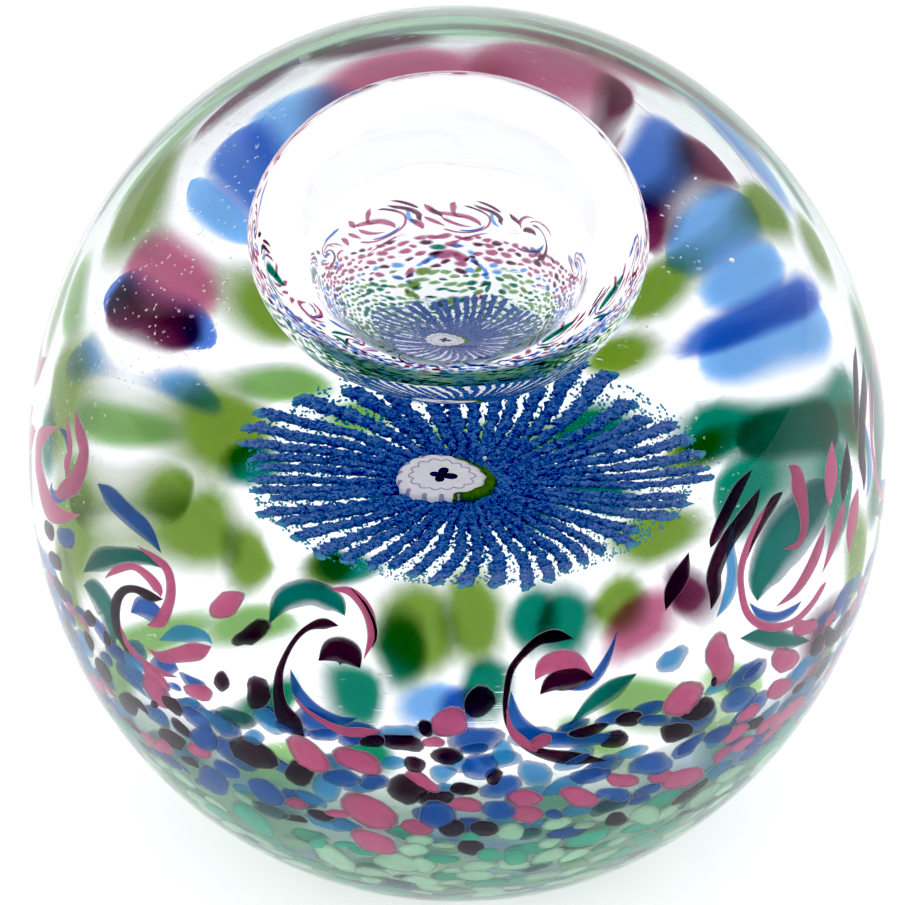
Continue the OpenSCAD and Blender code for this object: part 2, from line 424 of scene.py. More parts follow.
def fused_powder():
    """Cobalt blue glass powder, fused but still granular: matt, and teal where it lies low, partly as thinly spread
    powder and partly as painted glints.
    """
    look = settings("flower")
    material, tree = new_material("fused_blue_powder")
    place = add(tree, "ShaderNodeTexCoord").outputs["Object"]
    # Grains are about 0.15 mm across
    cells = add(tree, "ShaderNodeTexVoronoi", {"Vector": place, "Scale": 6500.0})
    split = add(tree, "ShaderNodeSeparateColor", {"Color": cells.outputs["Color"]})
    shade = add(tree, "ShaderNodeMix", {0: split.outputs[0], 6: [*look.powder_dark, 1],
                                        7: [*look.powder, 1]}, data_type="RGBA")
    height = add(tree, "ShaderNodeSeparateXYZ", {0: place}).outputs[2]
    # Teal near the foot of the ridges and on the loose grains: partly thinly spread powder, partly painted glints
    thin = add(tree, "ShaderNodeMapRange", {
        "Value": height, "From Min": RAYS_LOW.z + 0.06 * MM, "From Max": RAYS_LOW.z + 0.2 * MM,
        "To Min": 0.85, "To Max": 0.0})
    colour = add(tree, "ShaderNodeMix", {0: thin.outputs[0], 6: shade.outputs[2],
                                         7: [*look.powder_thin_and_glints, 1]}, data_type="RGBA")
    bump = add(tree, "ShaderNodeBump", {"Height": cells.outputs["Distance"], "Strength": 0.6,
                                        "Distance": 0.00006}, invert=True)
    surface = add(tree, "ShaderNodeBsdfPrincipled", {
        "Base Color": colour.outputs[2], "Roughness": 0.55, "IOR": 1.05,
        "Normal": bump.outputs[0]})
    add(tree, "ShaderNodeOutputMaterial", {"Surface": surface.outputs[0]})
    return material


def cane_glass(name, colour, streak):
    """Opaque drawn cane glass: smooth, with faint streaks along the pull."""
    material, tree = new_material(name)
    place = add(tree, "ShaderNodeTexCoord").outputs["Object"]
    pulled = add(tree, "ShaderNodeMapping", {"Vector": place, "Scale": (2400, 2400, 300)})
    streaks = add(tree, "ShaderNodeTexNoise", {"Vector": pulled.outputs[0], "Scale": 1.0,
                                               "Detail": 2.0})
    fade = add(tree, "ShaderNodeMapRange", {"Value": streaks.outputs["Fac"], "From Min": 0.35,
                                            "From Max": 0.7})
    dark = [c * streak for c in colour]
    tinted = add(tree, "ShaderNodeMix", {0: fade.outputs[0], 6: [*colour, 1],
                                         7: [*dark, 1]}, data_type="RGBA")
    surface = add(tree, "ShaderNodeBsdfPrincipled", {"Base Color": tinted.outputs[2],
                                                     "Roughness": 0.35, "IOR": 1.03})
    add(tree, "ShaderNodeOutputMaterial", {"Surface": surface.outputs[0]})
    return material


def studio_floor():
    """Matt white acrylic with a faint tooth, lit softly from below as a light table is."""
    material, tree = new_material("lit_white_acrylic")
    place = add(tree, "ShaderNodeTexCoord").outputs["Object"]
    tooth = add(tree, "ShaderNodeTexNoise", {"Vector": place, "Scale": 900.0, "Detail": 3.0})
    bump = add(tree, "ShaderNodeBump", {"Height": tooth.outputs["Fac"], "Strength": 0.05,
                                        "Distance": 0.0001})
    surface = add(tree, "ShaderNodeBsdfPrincipled", {
        "Base Color": [*settings("stage").floor, 1], "Roughness": 0.9, "Normal": bump.outputs[0],
        "Emission Color": [1, 1, 1, 1], "Emission Strength": settings("stage").glow})
    add(tree, "ShaderNodeOutputMaterial", {"Surface": surface.outputs[0]})
    return material


# ---------------------------------------------------------------- crystal

class PAPERWEIGHT_OT_crystal(bpy.types.Operator):
    """Blow the clear ball with its ground base, air bubble and seeds"""
    bl_idname = "paperweight.crystal"
    bl_label = "Crystal ball"

    def execute(self, context):
        look = settings("crystal")
        radius, middle = ball_radius(), ball_middle()
        polar = radius * look.stretch
        lowest = -math.asin(middle / polar)
        flat = radius * math.cos(lowest)
        edge = look.ground_edge
        profile = [(0, 0), (flat * 0.5, 0), (flat - 2 * edge, 0), (flat - 1.1 * edge, 0),
                   (flat - edge, 0), (flat - edge / 2, edge * 0.12), (flat, edge * 0.5)]
        steps = 120
        start = -math.asin((middle - edge) / polar)
        for i in range(steps + 1):
            angle = start + (math.pi / 2 - start) * i / steps
            profile.append((radius * math.cos(angle) if i < steps else 0,
                            middle + polar * math.sin(angle)))
        bm = bmesh.new()
        ring_solid(bm, turned(profile, 192))
        self.bubble(bm, look)
        self.seeds(bm, radius, middle)
        ball = new_object("crystal_ball", mesh_from(bm, "crystal_ball"), polished_crystal())
        finish_piece(ball, "clear_crystal", "outer_casing", "third_gather", "second_gather",
                     "first_gather")
        return {"FINISHED"}

    def bubble(self, bm, look):
        """A void, slightly uneven as a trapped bubble is, whose faces point into it."""
        steps = 80
        profile = []
        for i in range(steps + 1):
            angle = -math.pi / 2 + math.pi * i / steps
            profile.append((look.bubble_width / 2 * math.cos(angle) if 0 < i < steps else 0,
                            BUBBLE_LEVEL + look.bubble_height / 2 * math.sin(angle)))
        middle = Vector((look.bubble_x, 0, BUBBLE_LEVEL))
        before = set(bm.faces)
        for vert in ring_solid(bm, turned(profile, 144, (look.bubble_x, 0))):
            outwards = (vert.co - middle).normalized()
            vert.co += outwards * noise.noise(outwards * 1.3) * 0.25 * MM
        bmesh.ops.reverse_faces(bm, faces=[f for f in bm.faces if f not in before])

    def seeds(self, bm, radius, middle):
        """A few tiny round bubbles, as hand-worked glass has."""
        count = 9
        for i in range(count):
            turn = i * 2.4
            reach = radius * (0.35 + 0.5 * ((i * 7) % count) / count)
            height = middle + radius * (0.15 + 0.6 * ((i * 4) % count) / count) * 0.6
            size = (0.09 + 0.05 * (i % 3)) * MM
            profile = [(size * math.sin(math.pi * k / 8) if 0 < k < 8 else 0,
                        height - size * math.cos(math.pi * k / 8)) for k in range(9)]
            before = set(bm.faces)
            ring_solid(bm, turned(profile, 12, (reach * math.cos(turn), reach * math.sin(turn))))
            bmesh.ops.reverse_faces(bm, faces=[f for f in bm.faces if f not in before])


# ---------------------------------------------------------------- flower

def ray_mesh(width, height):
    """One powder ridge along +X, from 0.16 of its length to 1, with a rounded outer end."""
    bm = bmesh.new()
    steps, around = 72, 8
    rings = [[(0.16, 0, 0)]]
    for i in range(1, steps):
        t = i / steps
        half = width / 2 * (0.5 + 0.5 * t) * min(1, math.sqrt((1 - t) * 30), t * 14)
        rings.append([(0.16 + 0.84 * t, half * math.cos(2 * math.pi * k / around),
                       height / 2 * (1 + math.sin(2 * math.pi * k / around)) * min(1, (1 - t) * 12))
                      for k in range(around)])
    rings.append([(1, 0, 0)])
    ring_solid(bm, rings)
    return mesh_from(bm, "powder_ridge")


def flower_tree():
    """Node tree of the flower: ridges set round a hub, bent and roughened, and strewn with grains."""
    tree, given = node_group("powder_flower", {
        "Ridge": ("NodeSocketObject", None), "Rays": ("NodeSocketInt", 46),
        "Radius": ("NodeSocketFloat", 0.0138), "Grain": ("NodeSocketFloat", 0.0001),
        "Per area": ("NodeSocketFloat", 5.5e6), "Loose per area": ("NodeSocketFloat", 9e6),
        "Show grains": ("NodeSocketBool", False), "Middle": ("NodeSocketVector", None),
        "Seed": ("NodeSocketInt", 3), "Powder": ("NodeSocketMaterial", None)})
    ridge = add(tree, "GeometryNodeObjectInfo", {"Object": given["Ridge"]})
    points = add(tree, "GeometryNodeMeshLine", {"Count": given["Rays"],
                                                "Offset": (0, 0, 0)})
    index = add(tree, "GeometryNodeInputIndex").outputs[0]
    step = add(tree, "ShaderNodeMath", {0: math.tau, 1: given["Rays"]}, operation="DIVIDE")
    jitter = add(tree, "FunctionNodeRandomValue", {2: -0.18, 3: 0.18, "Seed": given["Seed"]})
    place = add(tree, "ShaderNodeMath", {0: index, 1: jitter.outputs[1]}, operation="ADD")
    turn = add(tree, "ShaderNodeMath", {0: place.outputs[0], 1: step.outputs[0]},
               operation="MULTIPLY")
    spin = add(tree, "ShaderNodeCombineXYZ", {2: turn.outputs[0]})
    # The outline has five soft corners, and each ridge ends a little short of it or past it
    corner = add(tree, "ShaderNodeMath", {0: turn.outputs[0], 1: 5.0}, operation="MULTIPLY")
    wave = add(tree, "ShaderNodeMath", {0: corner.outputs[0]}, operation="COSINE")
    ends = add(tree, "FunctionNodeRandomValue", {2: 0.95, 3: 1.05, "Seed": given["Seed"]})
    reach = add(tree, "ShaderNodeMath", {0: wave.outputs[0], 1: 0.05, 2: ends.outputs[1]},
                operation="MULTIPLY_ADD")
    long = add(tree, "ShaderNodeMath", {0: reach.outputs[0], 1: given["Radius"]},
               operation="MULTIPLY")
    size = add(tree, "ShaderNodeCombineXYZ", {0: long.outputs[0], 1: 1.0, 2: 1.0})
    set_out = add(tree, "GeometryNodeInstanceOnPoints", {
        "Points": points.outputs[0], "Instance": ridge.outputs["Geometry"],
        "Rotation": spin.outputs[0], "Scale": size.outputs[0]})
    ridges = add(tree, "GeometryNodeRealizeInstances", {"Geometry": set_out.outputs[0]})
    rough = add(tree, "ShaderNodeTexNoise", {"Scale": 2600.0, "Detail": 2.0})
    push = add(tree, "ShaderNodeVectorMath", {0: rough.outputs["Color"], 1: (0.5, 0.5, 0.5)},
               operation="SUBTRACT")
    amount = add(tree, "ShaderNodeVectorMath", {0: push.outputs[0], 1: (0.0012, 0.0012, 0.0003)},
                 operation="MULTIPLY")
    roughened = add(tree, "GeometryNodeSetPosition", {"Geometry": ridges.outputs[0],
                                                      "Offset": amount.outputs[0]})
    on_ridges = add(tree, "GeometryNodeDistributePointsOnFaces", {
        "Mesh": roughened.outputs[0], "Density": given["Per area"], "Seed": given["Seed"]})
    disc = add(tree, "GeometryNodeMeshCircle", {"Vertices": 96, "Radius": given["Radius"]},
               fill_type="NGON")
    loose = add(tree, "GeometryNodeDistributePointsOnFaces", {
        "Mesh": disc.outputs[0], "Density": given["Loose per area"], "Seed": given["Seed"]})
    strewn = add(tree, "GeometryNodeJoinGeometry")
    tree.links.new(on_ridges.outputs[0], strewn.inputs[0])
    tree.links.new(loose.outputs[0], strewn.inputs[0])
    grain = add(tree, "GeometryNodeMeshIcoSphere", {"Radius": given["Grain"], "Subdivisions": 1})
    sizes = add(tree, "FunctionNodeRandomValue", {0: (0.5, 0.5, 0.4), 1: (1.3, 1.3, 1.0),
                                                  "Seed": given["Seed"]},
                data_type="FLOAT_VECTOR")
    spins = add(tree, "FunctionNodeRandomValue", {0: (0, 0, 0), 1: (6, 6, 6),
                                                  "Seed": given["Seed"]},
                data_type="FLOAT_VECTOR")
    grains = add(tree, "GeometryNodeInstanceOnPoints", {
        "Points": strewn.outputs[0], "Instance": grain.outputs[0],
        "Rotation": spins.outputs[0], "Scale": sizes.outputs[0]})
    solid_grains = add(tree, "GeometryNodeRealizeInstances", {"Geometry": grains.outputs[0]})
    chosen = add(tree, "GeometryNodeSwitch", {"Switch": given["Show grains"],
                                              "False": roughened.outputs[0],
                                              "True": solid_grains.outputs[0]},
                 input_type="GEOMETRY")
    # The whole flower sways: the ridges bend to one side or the other towards their ends
    where = add(tree, "GeometryNodeInputPosition").outputs[0]
    out_from = add(tree, "ShaderNodeVectorMath", {0: where}, operation="LENGTH")
    sway = add(tree, "ShaderNodeTexNoise", {"Scale": 75.0, "Detail": 0.0})
    bend = add(tree, "ShaderNodeMapRange", {"Value": sway.outputs["Fac"], "From Min": 0.3,
                                            "From Max": 0.7, "To Min": -8.0, "To Max": 8.0})
    angle = add(tree, "ShaderNodeMath", {0: bend.outputs[0], 1: out_from.outputs["Value"]},
                operation="MULTIPLY")
    swung = add(tree, "ShaderNodeVectorRotate", {"Vector": where, "Angle": angle.outputs[0]},
                rotation_type="Z_AXIS")
    bent = add(tree, "GeometryNodeSetPosition", {"Geometry": chosen.outputs[0],
                                                 "Position": swung.outputs[0],
                                                 "Offset": given["Middle"]})
    real = add(tree, "GeometryNodeRealizeInstances", {"Geometry": bent.outputs[0]})
    dressed = add(tree, "GeometryNodeSetMaterial", {"Geometry": real.outputs[0],
                                                    "Material": given["Powder"]})
    add(tree, "NodeGroupOutput", {0: dressed.outputs[0]})
    return tree


class PAPERWEIGHT_OT_flower(bpy.types.Operator):
    """Lay the blue powder flower"""
    bl_idname = "paperweight.flower"
    bl_label = "Powder flower"

    def execute(self, context):
        look = settings("flower")
        powder = fused_powder()
        ridge = new_object("ridge_shape", ray_mesh(look.ray_width, RAYS_HIGH.z - RAYS_LOW.z))
        tree = flower_tree()
        middle = Vector(((RAYS_LOW.x + RAYS_HIGH.x) / 2, (RAYS_LOW.y + RAYS_HIGH.y) / 2,
                         RAYS_LOW.z))
        values = {"Ridge": ridge, "Rays": look.rays, "Radius": (RAYS_HIGH.x - RAYS_LOW.x) / 2,
                  "Grain": look.grain, "Middle": middle, "Powder": powder}
        rays = grow("flower_ridges", tree, {**values, "Show grains": False})
        grains = grow("flower_grains", tree, {**values, "Show grains": True})
        bpy.data.objects.remove(ridge)
        hub = self.hub(middle, powder)
        finish_piece(rays, "blue_powder", "flower_rays")
        finish_piece(grains, "blue_powder", "flower_rays")
        finish_piece(hub, "blue_powder", "flower_hub")
        return {"FINISHED"}

    def hub(self, middle, powder):
        """The patch of dense powder where the ridges meet."""
        bm = bmesh.new()
        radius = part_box("flower_hub")[1].x - middle.x
        height = RAYS_HIGH.z - RAYS_LOW.z
        profile = [(0, 0), (radius, 0), (radius * 1.02, height * 0.3), (radius * 0.8, height * 0.75),
                   (radius * 0.4, height * 0.95), (0, height)]
        for vert in ring_solid(bm, turned(profile, 48)):
            vert.co *= 1 + 0.16 * noise.noise(vert.co * 1400)
            vert.co.z = min(max(vert.co.z, 0), height)
            vert.co += middle
        return new_object("flower_hub_powder", mesh_from(bm, "flower_hub_powder"), powder)


class PAPERWEIGHT_OT_cane(bpy.types.Operator):
    """Set the slice of white cane at the flower's heart"""
    bl_idname = "paperweight.cane"
    bl_label = "Cane slice"
    flutes = 14

    def execute(self, context):
        look = settings("flower")
        self.middle = (CANE_LOW + CANE_HIGH) / 2
        self.radius = (CANE_HIGH.x - CANE_LOW.x) / 2
        self.top = CANE_HIGH.z
        white = self.slice(cane_glass("white_cane_glass", look.white, 0.93))
        crimps = self.crimps(cane_glass("lilac_cane_glass", look.lilac, 0.8))
        mark = self.mark(cane_glass("navy_cane_glass", look.navy, 0.7))
        jacket = self.jacket(cane_glass("olive_jacket_glass", look.jacket, 0.7))
        finish_piece(white, "white_cane", "centre_cane")
        finish_piece(crimps, "lilac_cane", "cane_crimps")
        finish_piece(mark, "dark_blue_cane", "cane_star")
        finish_piece(jacket, "olive_jacket", "cane_jacket")
        return {"FINISHED"}

    def outline(self, angle, share=1.0, depth=0.06):
        """Point on the slice's fluted outline, scaled by share."""
        wobble = 0.97 + 0.05 * math.cos(2 * angle + 0.6) + 0.05 * math.cos(3 * angle + 1)
        radius = self.radius * share * wobble * (0.94 + depth * abs(math.cos(self.flutes * angle / 2)))
        return radius * math.cos(angle), radius * math.sin(angle)

    def slice(self, material):
        """The white body: fluted side, softly domed top."""
        bm = bmesh.new()
        low = CANE_LOW.z
        levels = [(0, 0), (0.98, 0), (1, 0.15), (1, 0.7), (0.95, 0.88), (0.8, 0.97), (0.4, 1), (0, 1)]
        steps = self.flutes * 10
        rings = []
        for share, rise in levels:
            height = low + (self.top - low) * rise
            ring = [self.outline(math.tau * i / steps, share) for i in range(steps if share else 1)]
            rings.append([(self.middle.x + x, self.middle.y + y, height) for x, y in ring])
        ring_solid(bm, rings)
        return new_object("cane_slice", mesh_from(bm, "cane_slice"), material)

    def crimps(self, material):
        """Lilac lines: one up each groove of the side, and a scalloped line on the top."""
        bm = bmesh.new()
        low = CANE_LOW.z
        for i in range(self.flutes):
            angle = math.tau * (i + 0.5) / self.flutes
            x, y = self.outline(angle, 0.985)
            profile = [(0, low), (0.17 * MM, low), (0.2 * MM, (low + self.top) / 2),
                       (0.14 * MM, self.top - 0.1 * MM), (0, self.top - 0.04 * MM)]
            ring_solid(bm, turned(profile, 10, (self.middle.x + x, self.middle.y + y)))
        steps = self.flutes * 10
        line = []
        for i in range(steps):
            angle = math.tau * i / steps
            x, y = self.outline(angle, 0.66, 0.16)
            line.append(Vector((self.middle.x + x, self.middle.y + y, self.top - 0.02 * MM)))
        tube(bm, line, [0.045 * MM] * steps, [Vector((0, 0, 1))] * steps, 0.6, closed=True)
        return new_object("cane_crimp_lines", mesh_from(bm, "cane_crimp_lines"), material)

    def mark(self, material):
        """The dark blue mark: four round petals of uneven length."""
        bm = bmesh.new()
        steps = 48
        rings = []
        for share, rise in ((0, -0.1), (1, -0.1), (1, 0.03), (0.7, 0.06), (0, 0.07)):
            ring = []
            for i in range(steps if share else 1):
                angle = math.tau * i / steps
                petal = 0.32 + 0.55 * abs(math.cos(2 * angle + 0.5)) * (1 + 0.3 * math.cos(angle))
                ring.append((self.middle.x + share * petal * math.cos(angle) * MM,
                             self.middle.y + share * petal * math.sin(angle) * MM,
                             self.top + rise * MM))
            rings.append(ring)
        ring_solid(bm, rings)
        return new_object("cane_mark", mesh_from(bm, "cane_mark"), material)

    def jacket(self, material):
        """The olive jacket glass that clings to the right side of the slice."""
        bm = bmesh.new()
        low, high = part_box("cane_jacket")
        steps = 40
        rings = []
        for i in range(steps + 1):
            t = i / steps
            angle = math.radians(-75 + 150 * t)
            swell = math.sin(math.pi * t)
            if i in (0, steps):
                x, y = self.outline(angle, 1.0)
                rings.append([(self.middle.x + x, self.middle.y + y, (low.z + high.z) / 2)])
                continue
            inner = self.outline(angle, 0.97)
            outer = self.outline(angle, 1.0 + 0.17 * swell)
            ring = []
            for point, height in ((outer, low.z), (outer, high.z - 0.25 * MM), (inner, high.z + 0.03 * MM),
                                  (inner, low.z)):
                ring.append((self.middle.x + point[0], self.middle.y + point[1], height))
            rings.append(ring)
        ring_solid(bm, rings)
        return new_object("cane_jacket_glass", mesh_from(bm, "cane_jacket_glass"), material)


# ---------------------------------------------------------------- frit chips

def chip_shape(thickness):
    """A melted chip one unit wide and long, its outer side up. Attribute rim is the distance from
    its middle, and side tells its outer side from its inner one."""
    bm = bmesh.new()
    profile = [(0, -0.5), (0.31, -0.38), (0.5, 0), (0.31, 0.38), (0, 0.5)]
    ring_solid(bm, turned([(r, z * thickness) for r, z in profile], 14))
    mesh = mesh_from(bm, "chip_shape")
    rim = mesh.attributes.new("rim", "FLOAT", "POINT")
    side = mesh.attributes.new("side", "FLOAT", "POINT")
    for i, vert in enumerate(mesh.vertices):
        rim.data[i].value = Vector((vert.co.x, vert.co.y)).length * 2
        side.data[i].value = 0.5 + 0.5 * ((vert.co.z > 1e-9) - (vert.co.z < -1e-9))
    return new_object("chip_shape", mesh)


def placed_points():
    """The chips that are listed one by one, as points with their colour, size, spin and room."""
    points, values = [], {"kind": [], "long": [], "wide": [], "spin": [], "room": []}
    for number, (kind, _, _, _, _) in enumerate(FRIT_KINDS):
        for turn, angle, long, wide, spin in LAID_CHIPS.get(kind, ()):
            point, _ = on_layer(LAYER_RADIUS, math.radians(turn), math.radians(angle))
            # Those at the back melted out broader
            far = abs(turn) > 150
            spread = 1.6 if far else 1.0
            points.append(point - Vector((0, 0, ball_middle())))
            values["kind"].append(float(number))
            values["long"].append(long * spread * MM)
            values["wide"].append(wide * spread * MM)
            values["spin"].append(math.radians(spin))
            values["room"].append((2.1 if far and angle < -16 else 0.22 * (long + wide) + 0.6) * MM)
    mesh = bpy.data.meshes.new("laid_chips")
    mesh.from_pydata(points, [], [])
    for name, numbers in values.items():
        mesh.attributes.new(name, "FLOAT", "POINT").data.foreach_set("value", numbers)
    return new_object("laid_chips", mesh)


def frit_tree():
    """Node tree that strews chips evenly over the oval layer, adds those listed one by one, and keeps
    one colour of them."""
    tree, given = node_group("strewn_frit", {
        "Chip": ("NodeSocketObject", None), "Laid": ("NodeSocketObject", None),
        "Kind": ("NodeSocketFloat", 0.0), "Layer radius": ("NodeSocketFloat", 0.037),
        "Stretch": ("NodeSocketFloat", 1.0), "Middle": ("NodeSocketFloat", 0.036),
        "Lowest": ("NodeSocketFloat", -1.0), "Highest": ("NodeSocketFloat", 0.1),
        "Boundary": ("NodeSocketFloat", -0.45), "Bright": ("NodeSocketBool", False),
        "Share from": ("NodeSocketFloat", 0.0), "Share to": ("NodeSocketFloat", 1.0),
        "Spacing": ("NodeSocketFloat", 0.0028), "Length": ("NodeSocketFloat", 0.0036),
        "Width": ("NodeSocketFloat", 0.0026), "Seed": ("NodeSocketInt", 5),
        "Glass": ("NodeSocketMaterial", None)})
    laid = add(tree, "GeometryNodeObjectInfo", {"Object": given["Laid"]}).outputs["Geometry"]

    def attribute(name):
        return add(tree, "GeometryNodeInputNamedAttribute", {"Name": name}).outputs[0]

    ball = add(tree, "GeometryNodeMeshUVSphere", {"Segments": 128, "Rings": 96,
                                                  "Radius": given["Layer radius"]})
    tall = add(tree, "ShaderNodeCombineXYZ", {0: 1.0, 1: 1.0, 2: given["Stretch"]})
    oval = add(tree, "GeometryNodeTransform", {"Geometry": ball.outputs[0],
                                               "Scale": tall.outputs[0]})
    where = add(tree, "GeometryNodeInputPosition").outputs[0]
    height = add(tree, "ShaderNodeSeparateXYZ", {0: where}).outputs[2]
    polar = add(tree, "ShaderNodeMath", {0: given["Layer radius"], 1: given["Stretch"]},
                operation="MULTIPLY")
    sine = add(tree, "ShaderNodeMath", {0: height, 1: polar.outputs[0]}, operation="DIVIDE")
    angle = add(tree, "ShaderNodeMath", {0: sine.outputs[0]}, operation="ARCSINE").outputs[0]
    too_low = add(tree, "FunctionNodeCompare", {0: angle, 1: given["Lowest"]},
                  operation="LESS_THAN")
    # At the back the band reaches a little higher, and its top is pink
    depth_in = add(tree, "ShaderNodeSeparateXYZ", {0: where}).outputs[1]
    back = add(tree, "ShaderNodeMapRange", {"Value": depth_in, "From Min": 6 * MM,
                                            "From Max": 16 * MM}).outputs[0]
    lowered = add(tree, "ShaderNodeMath", {0: back, 1: -0.07, 2: angle},
                  operation="MULTIPLY_ADD").outputs[0]
    too_high = add(tree, "FunctionNodeCompare", {0: lowered, 1: given["Highest"]},
                   operation="GREATER_THAN")
    top = add(tree, "ShaderNodeMapRange", {"Value": angle, "From Min": math.radians(-18),
                                           "From Max": math.radians(-15)}).outputs[0]
    pinker = add(tree, "ShaderNodeMath", {0: top, 1: back}, operation="MULTIPLY").outputs[0]
    outside = add(tree, "FunctionNodeBooleanMath", {0: too_low.outputs[0],
                                                    1: too_high.outputs[0]}, operation="OR")
    band = add(tree, "GeometryNodeDeleteGeometry", {"Geometry": oval.outputs[0],
                                                    "Selection": outside.outputs[0]},
               domain="FACE")
    points = add(tree, "GeometryNodeDistributePointsOnFaces", {
        "Mesh": band.outputs[0], "Distance Min": given["Spacing"], "Density Max": 1.2e6,
        "Seed": given["Seed"]}, distribute_method="POISSON")
    # A sparser first coat of blue and deep green chips lies a little deeper
    sparser = add(tree, "ShaderNodeMath", {0: given["Spacing"], 1: 1.55}, operation="MULTIPLY")
    under = add(tree, "ShaderNodeMath", {0: given["Seed"], 1: 4.0}, operation="ADD")
    in_front = add(tree, "ShaderNodeMath", {0: 1.0, 1: back}, operation="SUBTRACT")
    coat = add(tree, "GeometryNodeDistributePointsOnFaces", {
        "Mesh": band.outputs[0], "Distance Min": sparser.outputs[0], "Density Max": 1.2e6,
        "Density Factor": in_front.outputs[0], "Seed": under.outputs[0]}, distribute_method="POISSON")
    sunk = add(tree, "ShaderNodeVectorMath", {0: where, "Scale": 0.962}, operation="SCALE")
    deeper = add(tree, "GeometryNodeSetPosition", {"Geometry": coat.outputs[0],
                                                   "Position": sunk.outputs[0]})
    any_kind = add(tree, "FunctionNodeRandomValue", {2: 0.0, 3: 1.0, "Seed": 23}).outputs[1]
    blues = add(tree, "ShaderNodeMath", {0: any_kind, 1: 0.44}, operation="MULTIPLY")
    greens = add(tree, "ShaderNodeMath", {0: any_kind, 1: 0.55, 2: 0.45},
                 operation="MULTIPLY_ADD")
    of_coat = add(tree, "GeometryNodeSwitch", {"Switch": given["Bright"],
                                               "False": greens.outputs[0],
                                               "True": blues.outputs[0]}, input_type="FLOAT")
    mostly_pink = add(tree, "ShaderNodeMath", {0: any_kind, 1: 0.4, 2: 0.6},
                      operation="MULTIPLY_ADD")
    of_top = add(tree, "ShaderNodeMix", {0: pinker, 2: any_kind, 3: mostly_pink.outputs[0]},
                 data_type="FLOAT")
    both = add(tree, "GeometryNodeJoinGeometry")
    for geometry, value, swell in ((points.outputs[0], of_top.outputs[0], 1.0),
                                   (deeper.outputs[0], of_coat.outputs[0], 1.3)):
        marked = add(tree, "GeometryNodeStoreNamedAttribute", {
            "Geometry": geometry, "Name": "draw", "Value": value})
        swollen = add(tree, "GeometryNodeStoreNamedAttribute", {
            "Geometry": marked.outputs[0], "Name": "swell", "Value": swell})
        tree.links.new(swollen.outputs[0], both.inputs[0])
    # The border between green and bright chips wanders a little
    wander = add(tree, "FunctionNodeRandomValue", {2: -0.07, 3: 0.07, "Seed": 11})
    wandering = add(tree, "ShaderNodeMath", {0: angle, 1: wander.outputs[1]}, operation="ADD")
    # and it lies higher at the back
    shifted = add(tree, "ShaderNodeMath", {0: back, 1: -0.1, 2: wandering.outputs[0]},
                  operation="MULTIPLY_ADD")
    is_bright = add(tree, "FunctionNodeCompare", {0: shifted.outputs[0], 1: given["Boundary"]},
                    operation="GREATER_THAN")
    other_zone = add(tree, "FunctionNodeBooleanMath", {0: is_bright.outputs[0],
                                                       1: given["Bright"]}, operation="XOR")
    before = add(tree, "FunctionNodeCompare", {0: attribute("draw"), 1: given["Share from"]},
                 operation="LESS_THAN")
    after = add(tree, "FunctionNodeCompare", {0: attribute("draw"), 1: given["Share to"]},
                operation="GREATER_EQUAL")
    not_this = add(tree, "FunctionNodeBooleanMath", {0: before.outputs[0], 1: after.outputs[0]},
                   operation="OR")
    # No strewn chip lands in the room that a laid chip keeps round itself
    gap = add(tree, "GeometryNodeProximity", {"Geometry": laid},
              target_element="POINTS").outputs["Distance"]
    nearest = add(tree, "GeometryNodeSampleNearest", {"Geometry": laid}).outputs[0]
    room = add(tree, "GeometryNodeSampleIndex", {"Geometry": laid, "Value": attribute("room"),
                                                 "Index": nearest}).outputs[0]
    crowded = add(tree, "FunctionNodeCompare", {0: gap, 1: room}, operation="LESS_THAN")
    unfit = add(tree, "FunctionNodeBooleanMath", {0: other_zone.outputs[0],
                                                  1: crowded.outputs[0]}, operation="OR")
    drop = add(tree, "FunctionNodeBooleanMath", {0: unfit.outputs[0],
                                                 1: not_this.outputs[0]}, operation="OR")
    kept = add(tree, "GeometryNodeDeleteGeometry", {"Geometry": both.outputs[0],
                                                    "Selection": drop.outputs[0]},
               domain="POINT").outputs[0]
    any_size = add(tree, "FunctionNodeRandomValue", {2: 0.6, 3: 1.2, "Seed": 41}).outputs[1]
    size = add(tree, "ShaderNodeMath", {0: any_size, 1: attribute("swell")},
               operation="MULTIPLY").outputs[0]
    slim = add(tree, "FunctionNodeRandomValue", {2: 0.75, 3: 1.1, "Seed": 43}).outputs[1]
    long = add(tree, "ShaderNodeMath", {0: given["Length"], 1: size},
               operation="MULTIPLY").outputs[0]
    full = add(tree, "ShaderNodeMath", {0: given["Width"], 1: size},
               operation="MULTIPLY").outputs[0]
    wide = add(tree, "ShaderNodeMath", {0: full, 1: slim}, operation="MULTIPLY").outputs[0]
